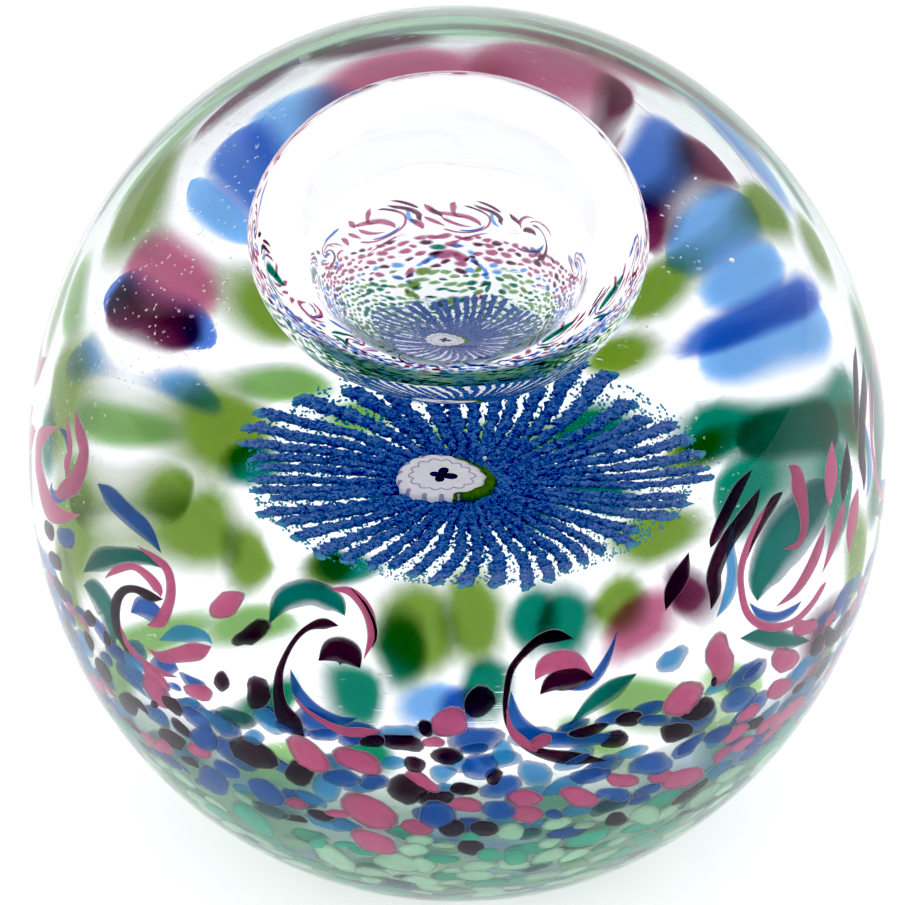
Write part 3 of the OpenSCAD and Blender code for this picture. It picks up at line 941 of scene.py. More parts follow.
    # Most chips are drawn out sideways, as the gather was turned
    lean = add(tree, "FunctionNodeRandomValue", {2: -0.5, 3: 0.6, "Seed": 31}).outputs[1]
    for name, value in (("long", long), ("wide", wide), ("spin", lean)):
        kept = add(tree, "GeometryNodeStoreNamedAttribute", {
            "Geometry": kept, "Name": name, "Value": value}).outputs[0]
    same = add(tree, "FunctionNodeCompare", {0: attribute("kind"), 1: given["Kind"],
                                             "Epsilon": 0.5}, operation="NOT_EQUAL")
    own = add(tree, "GeometryNodeDeleteGeometry", {"Geometry": laid,
                                                   "Selection": same.outputs[0]}, domain="POINT")
    everything = add(tree, "GeometryNodeJoinGeometry")
    tree.links.new(kept, everything.inputs[0])
    tree.links.new(own.outputs[0], everything.inputs[0])
    square = add(tree, "ShaderNodeMath", {0: given["Stretch"], 1: given["Stretch"]},
                 operation="MULTIPLY")
    flatten = add(tree, "ShaderNodeCombineXYZ", {0: 1.0, 1: 1.0, 2: square.outputs[0]})
    outwards = add(tree, "ShaderNodeVectorMath", {0: where, 1: flatten.outputs[0]},
                   operation="DIVIDE")
    stand = add(tree, "FunctionNodeAlignRotationToVector", {"Vector": outwards.outputs[0]},
                axis="Z")
    around = add(tree, "ShaderNodeVectorMath", {0: (0, 0, 1), 1: where},
                 operation="CROSS_PRODUCT")
    lie = add(tree, "FunctionNodeAlignRotationToVector", {"Rotation": stand.outputs[0],
                                                          "Vector": around.outputs[0]},
              axis="X", pivot_axis="Z")
    by = add(tree, "FunctionNodeAxisAngleToRotation", {"Axis": (0, 0, 1),
                                                       "Angle": attribute("spin")})
    turned_by = add(tree, "FunctionNodeRotateRotation", {"Rotation": lie.outputs[0],
                                                         "Rotate By": by.outputs[0]},
                    rotation_space="LOCAL")
    scale = add(tree, "ShaderNodeCombineXYZ", {0: attribute("long"), 1: attribute("wide"),
                                               2: 1.0})
    chips = add(tree, "GeometryNodeInstanceOnPoints", {
        "Points": everything.outputs[0], "Rotation": turned_by.outputs[0],
        "Scale": scale.outputs[0],
        "Instance": add(tree, "GeometryNodeObjectInfo",
                        {"Object": given["Chip"]}).outputs["Geometry"]})
    tone = add(tree, "FunctionNodeRandomValue", {2: 0.0, 3: 1.0, "Seed": 47})
    toned = add(tree, "GeometryNodeStoreNamedAttribute", {
        "Geometry": chips.outputs[0], "Name": "tone", "Value": tone.outputs[1]},
        domain="INSTANCE")
    # Chips lie over and under each other by a fraction of a millimetre
    depth = add(tree, "FunctionNodeRandomValue", {2: -0.0004, 3: 0.0004, "Seed": 53})
    unit = add(tree, "ShaderNodeVectorMath", {0: outwards.outputs[0]}, operation="NORMALIZE")
    shove = add(tree, "ShaderNodeVectorMath", {0: unit.outputs[0], "Scale": depth.outputs[1]},
                operation="SCALE")
    stacked = add(tree, "GeometryNodeTranslateInstances", {
        "Instances": toned.outputs[0], "Translation": shove.outputs[0], "Local Space": False})
    real = add(tree, "GeometryNodeRealizeInstances", {"Geometry": stacked.outputs[0]})
    ragged = add(tree, "ShaderNodeTexNoise", {"Vector": where, "Scale": 420.0, "Detail": 1.0})
    offset = add(tree, "ShaderNodeVectorMath", {0: ragged.outputs["Color"], 1: (0.5, 0.5, 0.5)},
                 operation="SUBTRACT")
    nudge = add(tree, "ShaderNodeVectorMath", {0: offset.outputs[0], "Scale": 0.0013},
                operation="SCALE")
    up = add(tree, "ShaderNodeCombineXYZ", {2: given["Middle"]})
    total = add(tree, "ShaderNodeVectorMath", {0: nudge.outputs[0], 1: up.outputs[0]},
                operation="ADD")
    shaped = add(tree, "GeometryNodeSetPosition", {"Geometry": real.outputs[0],
                                                   "Offset": total.outputs[0]})
    # The base is ground flat, and the lowest chips stay inside it
    parts = add(tree, "ShaderNodeSeparateXYZ", {0: where})
    floor = add(tree, "ShaderNodeMath", {0: parts.outputs[2], 1: 0.3 * MM}, operation="MAXIMUM")
    above = add(tree, "ShaderNodeCombineXYZ", {0: parts.outputs[0], 1: parts.outputs[1],
                                               2: floor.outputs[0]})
    kept_in = add(tree, "GeometryNodeSetPosition", {"Geometry": shaped.outputs[0],
                                                    "Position": above.outputs[0]})
    solid = add(tree, "GeometryNodeRealizeInstances", {"Geometry": kept_in.outputs[0]})
    dressed = add(tree, "GeometryNodeSetMaterial", {"Geometry": solid.outputs[0],
                                                    "Material": given["Glass"]})
    add(tree, "NodeGroupOutput", {0: dressed.outputs[0]})
    return tree


# Colour, whether it is of the upper bright zone, its share of that zone's chips, and how milky it is
FRIT_KINDS = (
    ("pale_green", False, 0.00, 0.44, 0.92),
    ("sea_green", False, 0.44, 0.78, 0.88),
    ("olive_green", False, 0.78, 0.86, 0.7),
    ("deep_green", False, 0.86, 1.01, 0.6),
    ("royal_blue", True, 0.00, 0.26, 0.72),
    ("sky_blue", True, 0.26, 0.44, 0.65),
    ("aubergine", True, 0.44, 0.68, 0.9),
    ("pink", True, 0.68, 1.01, 0.9),
)

# Chips listed one by one: turn from the front and height in degrees, length and width in millimetres,
# and the spin of the length from level, in degrees
LAID_CHIPS = {
    "pale_green": (
        (30, -29, 5, 2.5, -50), (-6, -29, 2.5, 2, 15), (-7, -31, 3, 2.5, 40),
        (-10, -36, 5, 4.5, 20), (-6, -36, 4, 3, 75), (8, -27, 3, 2.5, -50),
        (9, -36, 4, 2.5, -35), (15, -35, 3.5, 3, 60), (-21, -37, 6.5, 3.5, -80)),
    "sea_green": (
        (2, -27, 2, 1.5, -10), (5, -32, 3, 2, -80), (9, -33, 4, 2.5, -70),
        (21, -31, 4.5, 3, 15), (-34, -32, 6.5, 4, -80), (-18, -32, 3, 1.5, 40),
        (-23, -33, 3, 1.5, 45)),
    "olive_green": (
        (-167, -28, 3, 2.2, -75), (-165, -33, 2.8, 2, 90), (-167, -35, 2.4, 1.2, -85),
        (-164, -31, 1.8, 0.8, -85), (170, -21, 2, 1.5, -40), (171, -24, 2, 1.4, -25),
        (167, -29, 2.2, 1, -35), (168, -34, 2.5, 1.5, -50), (-177, -40, 3, 2.1, 90),
        (179, -39, 3, 2, 90), (-172, -36, 1.6, 1.1, 5), (170, -38, 2, 1.5, -75)),
    "deep_green": (
        (-32, -10, 4.5, 2.5, 0), (-168, -30, 1.7, 1.4, 0), (166, -28, 2.2, 1.6, -15),
        (164, -28, 1.6, 1, 80), (164, -31, 3, 1, -85), (-176, -41, 2.4, 1.2, 90),
        (175, -39, 2.2, 1.3, 90), (173, -39, 2.5, 1.4, 90), (-173, -36, 2, 1.1, 5),
        (178, -43, 2, 1.6, 90), (-173, -43, 2, 1.5, 80), (-176, -10, 3, 1.5, 10)),
    "royal_blue": (
        (6, -21, 3.5, 3, -50), (-3, -22, 4.5, 3.5, 85), (14, -23, 2.5, 1.5, -30),
        (23, -21, 4.5, 2, -30), (3, -12, 3.5, 3.5, -25), (-39, -25, 5.5, 3.5, 55),
        (-29, -23, 4, 3.5, -75), (-35, -21, 3.5, 2.5, 25), (-38, -16, 4.5, 3, 50),
        (28, -17, 5.5, 3, -25), (42, -11, 5, 3, -30), (-66, 2, 5, 2, 35),
        (-42, -9, 2, 1, 15), (172, -17, 1.7, 1.5, 45), (-172, -17, 1.7, 1, -35),
        (-167, -23, 1.2, 0.6, -60), (167, -23, 2, 1.1, -30), (180, -44, 1.3, 1.2, 0),
        (178, -10, 2.5, 1.2, 0)),
    "sky_blue": (
        (11, -15, 4, 3, -50), (-2, -14, 2.5, 2.5, 75), (-9, -12, 2.5, 2, 25),
        (6, -10, 3, 2.5, -80), (-19, -19, 4.5, 3, 75), (25, -14, 3, 2, -15),
        (30, 0, 3.5, 2.5, 20), (-40, -11, 3, 1.5, 25), (169, -19, 1.7, 0.8, 55),
        (-166, -26, 1.3, 1, 70), (167, -21, 1.8, 0.9, 60), (166, -24, 2, 1.1, 70),
        (-178, -44, 1.8, 1.3, 0), (-174, -15, 2.2, 1.4, -30), (-170, -18.5, 1.2, 0.7, -50), (173, -13, 2, 1.2, 30)),
    "aubergine": (
        (-30, -16, 5.5, 4.5, 10), (-23, -17, 4, 3, 60), (-7, -17, 4.5, 4, 60),
        (-1, -25, 3, 2.5, 85), (4, -25, 3, 2.5, -25), (25, -28, 3, 2, -50),
        (5, -14, 2.5, 1.5, 85), (1, -17, 2.5, 1.5, 0), (-6, -12, 2.5, 2, 15),
        (-21, -26, 2.5, 2, -10), (2, -30, 3, 2.5, -80), (-4, -6, 2, 1.5, 85),
        (3, -2, 3.5, 3, 65), (-28, -5, 4.5, 2.5, 75), (-29, 4, 5, 2, 40),
        (18, -8, 4, 1.5, 5), (24, -8, 3, 2, 0), (22, -11, 3, 2, -10),
        (35, -10, 4.5, 2.5, -15), (63, -12, 5, 2, -45), (37, -6, 1.5, 1, -45),
        (59, -11, 3.5, 2, -55), (-60, -7, 3, 2, 40), (-56, -8, 2, 1.5, 70),
        (-62, -12, 2, 2, 50), (-59, -15, 3.5, 2.5, 55), (-54, -18, 4.5, 2.5, 45),
        (-47, -14, 1.5, 1, 50), (-70, -4, 4, 2, 25), (-73, -1, 3.5, 2, 35),
        (-34, -5, 3, 1.5, 75), (175, -16, 1.4, 1, -55), (171, -18, 1.6, 0.8, 45),
        (-166, -23, 1.3, 0.7, -50), (166, -37, 1.8, 0.8, 70)),
    "pink": (
        (-21, -13, 5, 3.5, -50), (-14, -13, 5, 3, -20), (-5, -15, 4, 2, -45),
        (-13, -23, 6, 4.5, -50), (-6, -25, 3, 3, -25), (1, -20, 3.5, 2.5, -5),
        (18, -21, 5, 2.5, -40), (10, -23, 4, 2.5, -40), (24, -19, 4.5, 1.5, -35),
        (35, -23, 6, 3, -25), (-13, -30, 5, 4, -65), (-1, -5, 4, 3, 65),
        (-33, 7, 5, 2, 40), (38, -3, 6.5, 3, -75), (32, -7, 4.5, 4, -15),
        (51, -9, 5.5, 2.5, -40), (51, -14, 4.5, 2.5, -30), (55, -6, 5, 2, -30),
        (-178, -14, 4.5, 2.6, -5), (177, -15, 2.9, 2.2, 60), (-166.8, -21, 2.2, 1.3, -50),
        (168, -39, 2.9, 1.3, -60)),
}


def frit_material(kind, milkiness):
    """The kind's material, made once."""
    look = settings("frit")
    name = kind + "_opaline"
    return bpy.data.materials.get(name) or opaline_frit(
        name, getattr(look, kind + "_lit"), getattr(look, kind + "_deep"), milkiness)


class PAPERWEIGHT_OT_chips(bpy.types.Operator):
    """Roll the ball in coloured frit"""
    bl_idname = "paperweight.chips"
    bl_label = "Frit chips"

    def execute(self, context):
        look = settings("frit")
        tree = frit_tree()
        chip = chip_shape(look.chip_thickness)
        laid = placed_points()
        values = {
            "Chip": chip, "Laid": laid, "Layer radius": LAYER_RADIUS,
            "Stretch": settings("crystal").stretch, "Middle": ball_middle(),
            "Lowest": look.lowest, "Highest": look.highest, "Boundary": look.boundary,
            "Spacing": look.spacing, "Length": look.chip_length, "Width": look.chip_width,
            "Seed": 5}
        for number, (kind, bright, low, high, milkiness) in enumerate(FRIT_KINDS):
            piece = grow(kind + "_frit", tree, {
                **values, "Kind": float(number), "Bright": bright, "Share from": low,
                "Share to": high, "Glass": frit_material(kind, milkiness)})
            finish_piece(piece, kind + "_glass", kind + "_chips")
        bpy.data.objects.remove(chip)
        bpy.data.objects.remove(laid)
        return {"FINISHED"}


class PAPERWEIGHT_OT_wash(bpy.types.Operator):
    """Dust the gather under the chips with pale green powder"""
    bl_idname = "paperweight.wash"
    bl_label = "Powder wash"

    def execute(self, context):
        radius = LAYER_RADIUS - 1.5 * MM
        low, high = math.radians(-60), math.radians(-14)
        steps = 40
        angles = [low + (high - low) * i / steps for i in range(steps + 1)]
        profile = []
        for lift, row in ((0.08 * MM, angles), (0.0, reversed(angles))):
            for angle in row:
                point, _ = on_layer(radius, math.pi / 2, angle, lift)
                profile.append((point.x, point.z))
        bm = bmesh.new()
        rings = turned(profile, 128)
        rows = [[bm.verts.new(point) for point in ring] for ring in rings]
        for one, other in zip(rows, rows[1:] + rows[:1]):
            for i in range(len(one)):
                j = (i + 1) % len(one)
                bm.faces.new((one[i], one[j], other[j], other[i]))
        wash = new_object("green_wash_film", mesh_from(bm, "green_wash_film"),
                          powder_wash(settings("frit").wash))
        finish_piece(wash, "green_powder", "green_wash")
        return {"FINISHED"}


# ---------------------------------------------------------------- wave curls

def tube(bm, path, halves, normals, flatness, closed=False, around=10):
    """Sweeps an oval section along a path that lies on a surface with those normals."""
    count = len(path)
    rings = []
    for i, point in enumerate(path):
        ahead = path[(i + 1) % count] if closed or i < count - 1 else path[i]
        behind = path[i - 1] if closed or i > 0 else path[i]
        along = (ahead - behind).normalized()
        across = normals[i].cross(along).normalized()
        ring = []
        for k in range(around):
            a = math.tau * k / around
            ring.append(point + across * halves[i] * math.cos(a)
                        + normals[i] * min(halves[i] * flatness, 0.45 * MM) * math.sin(a))
        rings.append(ring)
    if not closed:
        ring_solid(bm, [[path[0]]] + rings[1:-1] + [[path[-1]]])
        return
    verts = [[bm.verts.new(p) for p in ring] for ring in rings]
    for low, high in zip(verts, verts[1:] + verts[:1]):
        for i in range(around):
            j = (i + 1) % around
            bm.faces.new((low[i], low[j], high[j], high[i]))


# Strokes of each sort of curl: the glass, how far out of the layer it lies, and the points that it
# is drawn through, each with its place across and up from the curl's middle and its width, in mm
CURL_SORTS = {
    "drop": (
        ("aubergine", 0.1, ((-2.7, -9.3, 0), (-4.0, -7.8, 2.6), (-4.9, -6.0, 1.5), (-5.0, -3.5, 0.9),
                            (-4.5, -1.5, 0.6), (-3.5, 0.6, 0.5), (-2.3, 2.0, 0.6), (-0.8, 2.7, 1.1),
                            (0.5, 2.7, 0))),
        ("deep_green", -0.5, ((-6.2, 1.2, 0), (-4.9, 3.8, 2.2), (-2.4, 5.1, 2.6), (-0.1, 4.6, 2.2),
                              (0.9, 3.5, 0))),
        ("pink", -0.3, ((-0.9, 5.7, 0), (1.3, 5.8, 0.9), (2.9, 4.3, 1.1), (3.4, 2.1, 0.8),
                        (2.7, -0.3, 0))),
        ("aubergine", 0.1, ((1.3, 6.3, 0), (2.7, 5.0, 0.25), (3.6, 3.4, 0.3), (3.8, 2.1, 0.25),
                            (3.5, 1.1, 0))),
        ("aubergine", 0.1, ((-1.3, -0.9, 0), (0.1, 0.3, 2.6), (1.5, 0.2, 2.8), (2.5, -1.0, 0))),
        ("royal_blue", -0.3, ((-4.0, -2.4, 0), (-3.2, -4.7, 1.4), (-1.8, -6.2, 1.8), (0.2, -6.8, 1.4),
                              (2.2, -6.2, 0))),
        ("pink", 0.2, ((-3.8, -4.6, 0), (-2.5, -6.0, 0.4), (-0.8, -7.0, 0.7), (1.0, -7.6, 1.1),
                       (2.7, -7.4, 1.1), (4.4, -7.0, 0))),
    ),
    "hook": (
        ("aubergine", 0.1, ((5.2, -11.2, 0), (1.9, -10.1, 1.7), (-0.9, -9.0, 1.2), (-2.9, -7.5, 0.7),
                            (-4.0, -5.6, 0.5), (-4.3, -3.8, 0.5), (-4.2, -2.2, 0.6), (-3.8, -0.1, 0.7),
                            (-2.7, 1.4, 0.8), (-1.3, 2.5, 1.1), (0.2, 2.7, 1.4), (1.8, 2.2, 0))),
        ("pink", 0.2, ((-4.2, -3.8, 0), (-3.8, -5.9, 0.6), (-2.9, -7.2, 1.0), (-1.6, -8.5, 0.6),
                       (-1.0, -8.9, 0))),
        ("pink", 0.0, ((-1.7, -1.3, 0), (-0.6, 0.0, 2.2), (1.4, 0.0, 2.5), (3.6, -1.6, 0))),
        ("aubergine", 0.2, ((-1.3, -2.7, 0), (0.0, -1.6, 2.2), (1.9, -1.5, 2.3), (3.6, -1.8, 0))),
        ("royal_blue", -0.1, ((1.1, -2.7, 0), (2.9, -2.6, 0.9), (4.1, -1.5, 1.1), (5.2, 0.4, 0.6),
                              (5.8, 2.1, 0))),
        ("royal_blue", -0.3, ((-3.8, -2.2, 0), (-3.3, -5.3, 1.6), (-1.4, -7.3, 1.9), (1.3, -8.1, 1.9),
                              (4.3, -8.6, 1.5), (6.9, -8.8, 0))),
        ("deep_green", -0.5, ((1.5, -6.6, 0), (3.7, -4.7, 2.0), (5.7, -3.5, 2.3), (7.8, -2.6, 0))),
    ),
    "ribbon": (
        ("pink", 0.2, ((-1.3, 6.1, 0), (-3.0, 5.5, 0.9), (-4.7, 4.3, 0.9), (-6.0, 2.8, 0.9),
                       (-6.6, 1.3, 0.8), (-6.6, -0.7, 0.8), (-6.1, -2.4, 0.8), (-4.8, -4.0, 0.8),
                       (-2.7, -5.3, 0.9), (-0.2, -6.0, 0.9), (2.2, -5.7, 1.0), (4.0, -4.9, 0.9),
                       (4.9, -4.6, 0))),
        ("aubergine", 0.3, ((0.0, 6.4, 0), (-1.5, 6.1, 1.2), (-3.1, 5.1, 0.8), (-4.6, 3.9, 0.5),
                            (-5.7, 2.6, 0))),
        ("pink", 0.2, ((1.4, 8.1, 0), (2.1, 7.1, 1.6), (2.1, 5.7, 2.1), (2.2, 3.6, 1.5), (1.8, 1.9, 1.2),
                       (0.7, 1.1, 0.8), (-1.3, 1.6, 0))),
        ("pink", 0.2, ((5.1, 0.9, 0), (3.9, -0.5, 1.5), (2.2, -1.9, 1.7), (0.0, -3.0, 1.2),
                       (-2.7, -3.3, 0))),
        ("pink", 0.1, ((8.9, 1.2, 0), (7.9, 0.1, 1.6), (6.2, -1.5, 1.7), (4.1, -3.5, 0))),
        ("pink", 0.0, ((12.0, 0.6, 0), (10.7, -0.7, 2.3), (9.7, -2.4, 2.2), (9.2, -4.3, 0))),
        ("pink", 0.0, ((8.6, 6.8, 0), (7.6, 5.0, 2.2), (6.8, 3.4, 2.0), (6.1, 1.8, 0))),
        ("aubergine", -0.1, ((-2.7, 9.6, 0), (-4.7, 8.8, 1.2), (-6.9, 7.2, 1.4), (-8.6, 5.6, 1.1),
                             (-9.2, 4.9, 0))),
        ("aubergine", -0.2, ((-2.3, 7.8, 0), (-4.2, 6.5, 1.6), (-7.3, 4.8, 1.9), (-9.2, 2.6, 1.8),
                             (-9.4, 0.8, 1.4), (-10.0, -0.7, 0))),
        ("aubergine", -0.1, ((-11.4, 5.3, 0), (-12.6, 3.6, 1.9), (-13.8, 2.3, 1.7), (-14.6, 0.8, 0))),
        ("deep_green", -0.6, ((-4.5, -2.1, 0), (-3.6, -0.2, 4.5), (-1.2, 1.8, 6.5), (1.9, 2.6, 6.5),
                              (5.4, 3.2, 4.5), (7.4, 3.6, 0))),
        ("deep_green", -0.5, ((-6.7, -4.8, 0), (-4.2, -5.7, 2.0), (-0.9, -7.7, 2.2), (3.4, -10.0, 0))),
        ("royal_blue", -0.2, ((-5.7, -1.6, 0), (-4.3, -3.4, 1.0), (-2.2, -4.6, 1.1), (0.0, -4.9, 0.9),
                              (1.2, -4.6, 0))),
        ("sky_blue", -0.4, ((-5.8, 6.1, 0), (-6.9, 4.6, 0.9), (-7.2, 1.7, 1.4), (-8.0, -0.3, 1.4),
                            (-9.4, -1.7, 0))),
    ),
    "spiral": (
        ("pink", 0.2, ((-2.1, 4.1, 0), (0.0, 4.0, 0.7), (1.7, 3.6, 1.1), (2.4, 2.3, 1.2), (2.3, 0.5, 1.2),
                       (1.3, -1.6, 1.3), (-0.4, -2.8, 0))),
        ("pink", 0.2, ((-6.2, -1.0, 0), (-4.6, 0.6, 0.7), (-2.4, 2.0, 0.7), (-0.5, 2.0, 1.1),
                       (0.9, 1.4, 1.3), (1.3, 0.7, 0))),
        ("aubergine", 0.1, ((1.6, 0.6, 0), (-0.1, 0.2, 1.2), (-2.0, 0.0, 0.8), (-3.6, -1.0, 0.9),
                            (-4.6, -2.9, 1.4), (-4.6, -5.0, 1.5), (-3.6, -6.4, 1.1), (-1.8, -7.5, 0.4),
                            (-0.5, -7.8, 0))),
        ("royal_blue", 0.0, ((-2.6, -2.6, 0), (-1.1, -1.4, 2.2), (0.5, -1.0, 2.2), (1.6, -0.6, 0))),
        ("pink", 0.2, ((-4.1, -4.2, 0), (-3.3, -5.9, 0.9), (-1.5, -6.9, 1.2), (0.6, -7.0, 1.0),
                       (3.2, -6.5, 0))),
        ("pink", 0.2, ((-1.5, -7.4, 0), (-0.6, -8.2, 1.2), (0.4, -8.7, 1.1), (0.9, -9.5, 0))),
        ("deep_green", -0.5, ((-10.2, -3.9, 0), (-8.1, -3.7, 3.6), (-6.3, -4.4, 3.8), (-5.9, -6.1, 2.5),
                              (-5.7, -7.8, 0))),
        ("royal_blue", -0.3, ((-9.0, 6.5, 0), (-6.9, 6.4, 2.1), (-4.3, 6.1, 2.2), (-1.4, 5.7, 1.9),
                              (0.7, 4.5, 0))),
        ("deep_green", -0.4, ((-10.2, -2.6, 0), (-7.4, 0.1, 2.2), (-4.4, 2.0, 1.8), (-1.4, 3.2, 1.4),
                              (0.9, 3.2, 0))),
        ("pink", 0.1, ((-0.6, -5.1, 0), (1.1, -5.3, 1.1), (3.4, -4.1, 1.6), (5.6, -2.8, 1.8),
                       (7.1, -1.8, 0))),
        ("sky_blue", -0.2, ((0.9, -3.8, 0), (3.5, -2.0, 1.8), (6.0, -1.2, 1.3), (7.1, -1.7, 0))),
        ("sky_blue", -0.4, ((-5.5, -7.0, 0), (-4.3, -8.4, 2.1), (-2.4, -9.2, 1.9), (-0.8, -9.3, 0))),
    ),
    "ring": (
        ("pink", 0.2, ((3.0, 6.2, 0), (4.6, 5.3, 1.6), (6.5, 4.1, 1.9), (6.4, 1.4, 2.2), (4.3, -0.9, 1.6),
                       (2.5, -2.4, 0))),
        ("pink", 0.1, ((1.5, 4.9, 0), (3.1, 4.0, 0.9), (4.1, 2.8, 1.1), (4.1, 1.4, 1.2), (5.3, 1.2, 0))),
        ("pink", 0.1, ((0.7, 3.3, 0), (-3.0, -0.2, 2.2), (-2.8, -2.1, 2.8), (-1.5, -3.1, 3.0),
                       (1.1, -4.0, 3.2), (4.7, -3.1, 1.4), (8.0, -1.1, 0))),
        ("royal_blue", 0.0, ((1.6, -1.5, 0), (2.0, -2.7, 1.4), (4.7, -1.2, 0.8), (6.4, 0.8, 0.7),
                             (6.7, 1.8, 0))),
        ("royal_blue", 0.0, ((0.8, 3.2, 0), (2.6, 3.5, 0.9), (3.7, 2.5, 0))),
    ),
}

# Turn of each curl from the front and its height in degrees, its size and its sort
CURLS = (
    (-157, 6, 0.9, "ribbon"), (-127, 5, 0.9, "spiral"), (-100, 7, 0.9, "ribbon"),
    (-75, 9, 1.0, "ring"), (-46, 3, 1.0, "spiral"), (-17, 4, 1.0, "drop"), (13, 3, 1.0, "hook"),
    (52, 6, 1.0, "ribbon"), (88, 6, 1.0, "ribbon"), (118, 6, 0.9, "spiral"),
    (150, 5, 1.0, "drop"), (176, 6, 0.9, "ribbon"),
)


class PAPERWEIGHT_OT_waves(bpy.types.Operator):
    """Draw the frit up into wave curls"""
    bl_idname = "paperweight.waves"
    bl_label = "Wave curls"

    def execute(self, context):
        nodes = {"pink": "pink_waves", "deep_green": "teal_waves", "aubergine": "aubergine_waves",
                 "royal_blue": "blue_waves", "sky_blue": "blue_waves"}
        milkiness = {kind: milky for kind, _, _, _, milky in FRIT_KINDS}
        for kind, node in nodes.items():
            bm = bmesh.new()
            layers = [bm.verts.layers.float.new(name) for name in ("rim", "side", "tone")]
            for number, (turn, angle, size, sort) in enumerate(CURLS):
                for which, (glass, lift, points) in enumerate(CURL_SORTS[sort]):
                    # At the back pink glass takes the place of the deep green, drawn finer
                    if glass == "deep_green" and abs(turn) > 110:
                        glass = "pink"
                        points = [(across, up, width * 0.4) for across, up, width in points]
                    if glass == kind:
                        self.stroke(bm, layers, (turn, angle, size), lift, points,
                                    number * 0.37 + which * 0.23)
            mesh = mesh_from(bm, kind + "_curls")
            piece = new_object(kind + "_curls", mesh, frit_material(kind, milkiness[kind]))
            finish_piece(piece, kind + "_glass", node)
        return {"FINISHED"}

    def spot(self, curl, across, up, lift):
        """A point of a curl, given in millimetres across and up from its middle."""
        turn, angle, size = curl
        radius = LAYER_RADIUS / MM
        latitude = math.radians(angle) + up * size / radius
        longitude = math.radians(turn) + across * size / (radius * math.cos(latitude))
        return on_layer(LAYER_RADIUS, longitude, latitude, lift * MM)

    def stroke(self, bm, layers, curl, lift, points, seed):
        """One drawn thread, swept smoothly through its points, its edges and sides marked."""
        path, normals, halves = [], [], []
        ends = [points[0]] + list(points) + [points[-1]]
        parts = 6
        for i in range(len(points) - 1):
            for k in range(parts + (i == len(points) - 2)):
                t = k / parts
                across, up, width = (self.through([p[n] for p in ends[i:i + 4]], t)
                                     for n in range(3))
                point, outwards = self.spot(curl, across, up, lift)
                path.append(point)
                normals.append(outwards)
                halves.append(max(width, 0.12) / 2 * curl[2] * MM)
        around = 10
        first = len(bm.verts)
        tube(bm, path, halves, normals, 0.35, around=around)
        bm.verts.ensure_lookup_table()
        rim, side, tone = layers
        last = len(bm.verts) - 1
        for k in range(first, last + 1):
            vert = bm.verts[k]
            tip = k in (first, last)
            a = math.tau * ((k - first - 1) % around) / around
            # The sides of a thread get rim near 1, which gives them the painted edge highlight
            vert[rim] = 0.9 if tip else abs(math.cos(a))
            vert[side] = 0.5 if tip else 0.5 + 0.5 * ((math.sin(a) > 0.1) - (math.sin(a) < -0.1))
            vert[tone] = seed % 1

    def through(self, values, t):
        """A smooth curve through four values, between the second and the third."""
        a, b, c, d = values
        return b + 0.5 * t * (c - a + t * (2 * a - 5 * b + 4 * c - d + t * (3 * (b - c) + d - a)))


# ---------------------------------------------------------------- stage

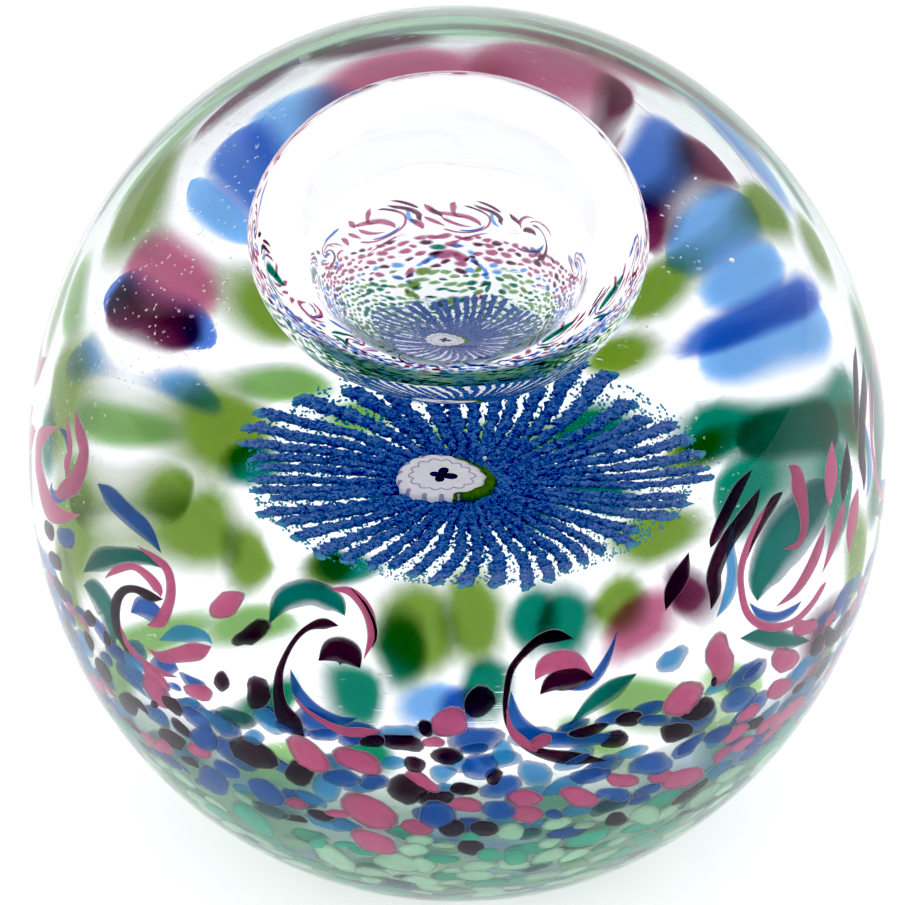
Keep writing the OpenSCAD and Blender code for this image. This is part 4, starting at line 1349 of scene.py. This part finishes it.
class PAPERWEIGHT_OT_stage(bpy.types.Operator):
    """Set the pale floor, the soft light and the camera"""
    bl_idname = "paperweight.stage"
    bl_label = "Stage"

    def execute(self, context):
        self.floor()
        self.light(context.scene)
        self.camera(context.scene)
        return {"FINISHED"}

    def floor(self):
        """A broad sheet just under the base."""
        bm = bmesh.new()
        bmesh.ops.create_grid(bm, x_segments=8, y_segments=8, size=1.5)
        for vert in bm.verts:
            vert.co.z = CASING_LOW.z - 0.1 * MM
        new_object("floor", mesh_from(bm, "floor"), studio_floor())

    def light(self, scene):
        """White surroundings all round, dimmer where the camera stands."""
        world = bpy.data.worlds.new("studio")
        scene.world = world
        world.use_nodes = True
        tree = world.node_tree
        tree.nodes.clear()
        direction = add(tree, "ShaderNodeTexCoord").outputs["Generated"]
        rise = settings("stage").elevation
        towards = add(tree, "ShaderNodeVectorMath", {
            0: direction, 1: (0, -math.cos(rise), math.sin(rise))}, operation="DOT_PRODUCT")
        ramp = add(tree, "ShaderNodeValToRGB", {0: towards.outputs["Value"]})
        stops = ramp.color_ramp.elements
        stops[0].position, stops[0].color = 0.55, (1, 1, 1, 1)
        stops[1].position, stops[1].color = 0.9, (*linear("#8A8C94"), 1)
        # What lies inside the glass is lit evenly from all round
        path = add(tree, "ShaderNodeLightPath")
        scattered = add(tree, "ShaderNodeMath", {0: path.outputs["Diffuse Depth"], 1: 1.0},
                        operation="MINIMUM")
        colour = add(tree, "ShaderNodeMix", {0: scattered.outputs[0], 6: ramp.outputs[0],
                                             7: (1, 1, 1, 1)}, data_type="RGBA")
        sky = add(tree, "ShaderNodeBackground", {"Color": colour.outputs[2], "Strength": 1.0})
        add(tree, "ShaderNodeOutputWorld", {"Surface": sky.outputs[0]})

    def camera(self, scene):
        """A long lens from the front and above, aimed at the ball's middle."""
        look = settings("stage")
        camera = bpy.data.cameras.new("camera")
        stand = bpy.data.objects.new("camera", camera)
        scene.collection.objects.link(stand)
        scene.camera = stand
        aim = Vector((-0.47 * MM, 0, ball_middle() + 0.2 * MM))
        back = Vector((0, -math.cos(look.elevation), math.sin(look.elevation)))
        stand.location = aim + back * look.distance
        stand.rotation_euler = (math.pi / 2 - look.elevation, 0, 0)
        camera.sensor_width = 36
        camera.lens = 36 * look.distance * look.fill / (2 * ball_radius())
        camera.clip_start = 0.01
        view = scene.view_settings
        view.view_transform = "Standard"
        view.use_curve_mapping = True
        view.curve_mapping.black_level = (0.062, 0.062, 0.062)
        view.curve_mapping.white_level = (0.95, 0.95, 0.95)
        view.curve_mapping.update()
        cycles = scene.cycles
        cycles.max_bounces = 28
        cycles.transmission_bounces = 24
        cycles.glossy_bounces = 12
        cycles.diffuse_bounces = 4
        cycles.transparent_max_bounces = 48


# ---------------------------------------------------------------- add-on

OPERATORS = (PAPERWEIGHT_OT_stage, PAPERWEIGHT_OT_crystal, PAPERWEIGHT_OT_flower,
             PAPERWEIGHT_OT_cane, PAPERWEIGHT_OT_wash, PAPERWEIGHT_OT_chips,
             PAPERWEIGHT_OT_waves)


class PAPERWEIGHT_PT_panel(bpy.types.Panel):
    """Lists the paperweight's operators and settings"""
    bl_idname = "PAPERWEIGHT_PT_panel"
    bl_label = "Paperweight"
    bl_space_type = "VIEW_3D"
    bl_region_type = "UI"
    bl_category = "Paperweight"

    def draw(self, context):
        for operator in OPERATORS:
            self.layout.operator(operator.bl_idname)
        for name, group in SETTINGS.items():
            box = self.layout.box()
            box.label(text=name.capitalize())
            for key in group.__annotations__:
                box.prop(getattr(context.scene, "paperweight_" + name), key)


def register():
    """Registers the settings, the operators and the panel."""
    for name, group in SETTINGS.items():
        bpy.utils.register_class(group)
        setattr(bpy.types.Scene, "paperweight_" + name, bpy.props.PointerProperty(type=group))
    for kind in (*OPERATORS, PAPERWEIGHT_PT_panel):
        bpy.utils.register_class(kind)


def unregister():
    """Takes them all out again."""
    for kind in (PAPERWEIGHT_PT_panel, *reversed(OPERATORS)):
        bpy.utils.unregister_class(kind)
    for name, group in SETTINGS.items():
        delattr(bpy.types.Scene, "paperweight_" + name)
        bpy.utils.unregister_class(group)


def main():
    """Builds everything."""
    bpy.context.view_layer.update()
    register()
    bpy.ops.paperweight.stage()
    bpy.ops.paperweight.crystal()
    bpy.ops.paperweight.flower()
    bpy.ops.paperweight.cane()
    bpy.ops.paperweight.wash()
    bpy.ops.paperweight.chips()
    bpy.ops.paperweight.waves()


if __name__ == "__main__":
    main()
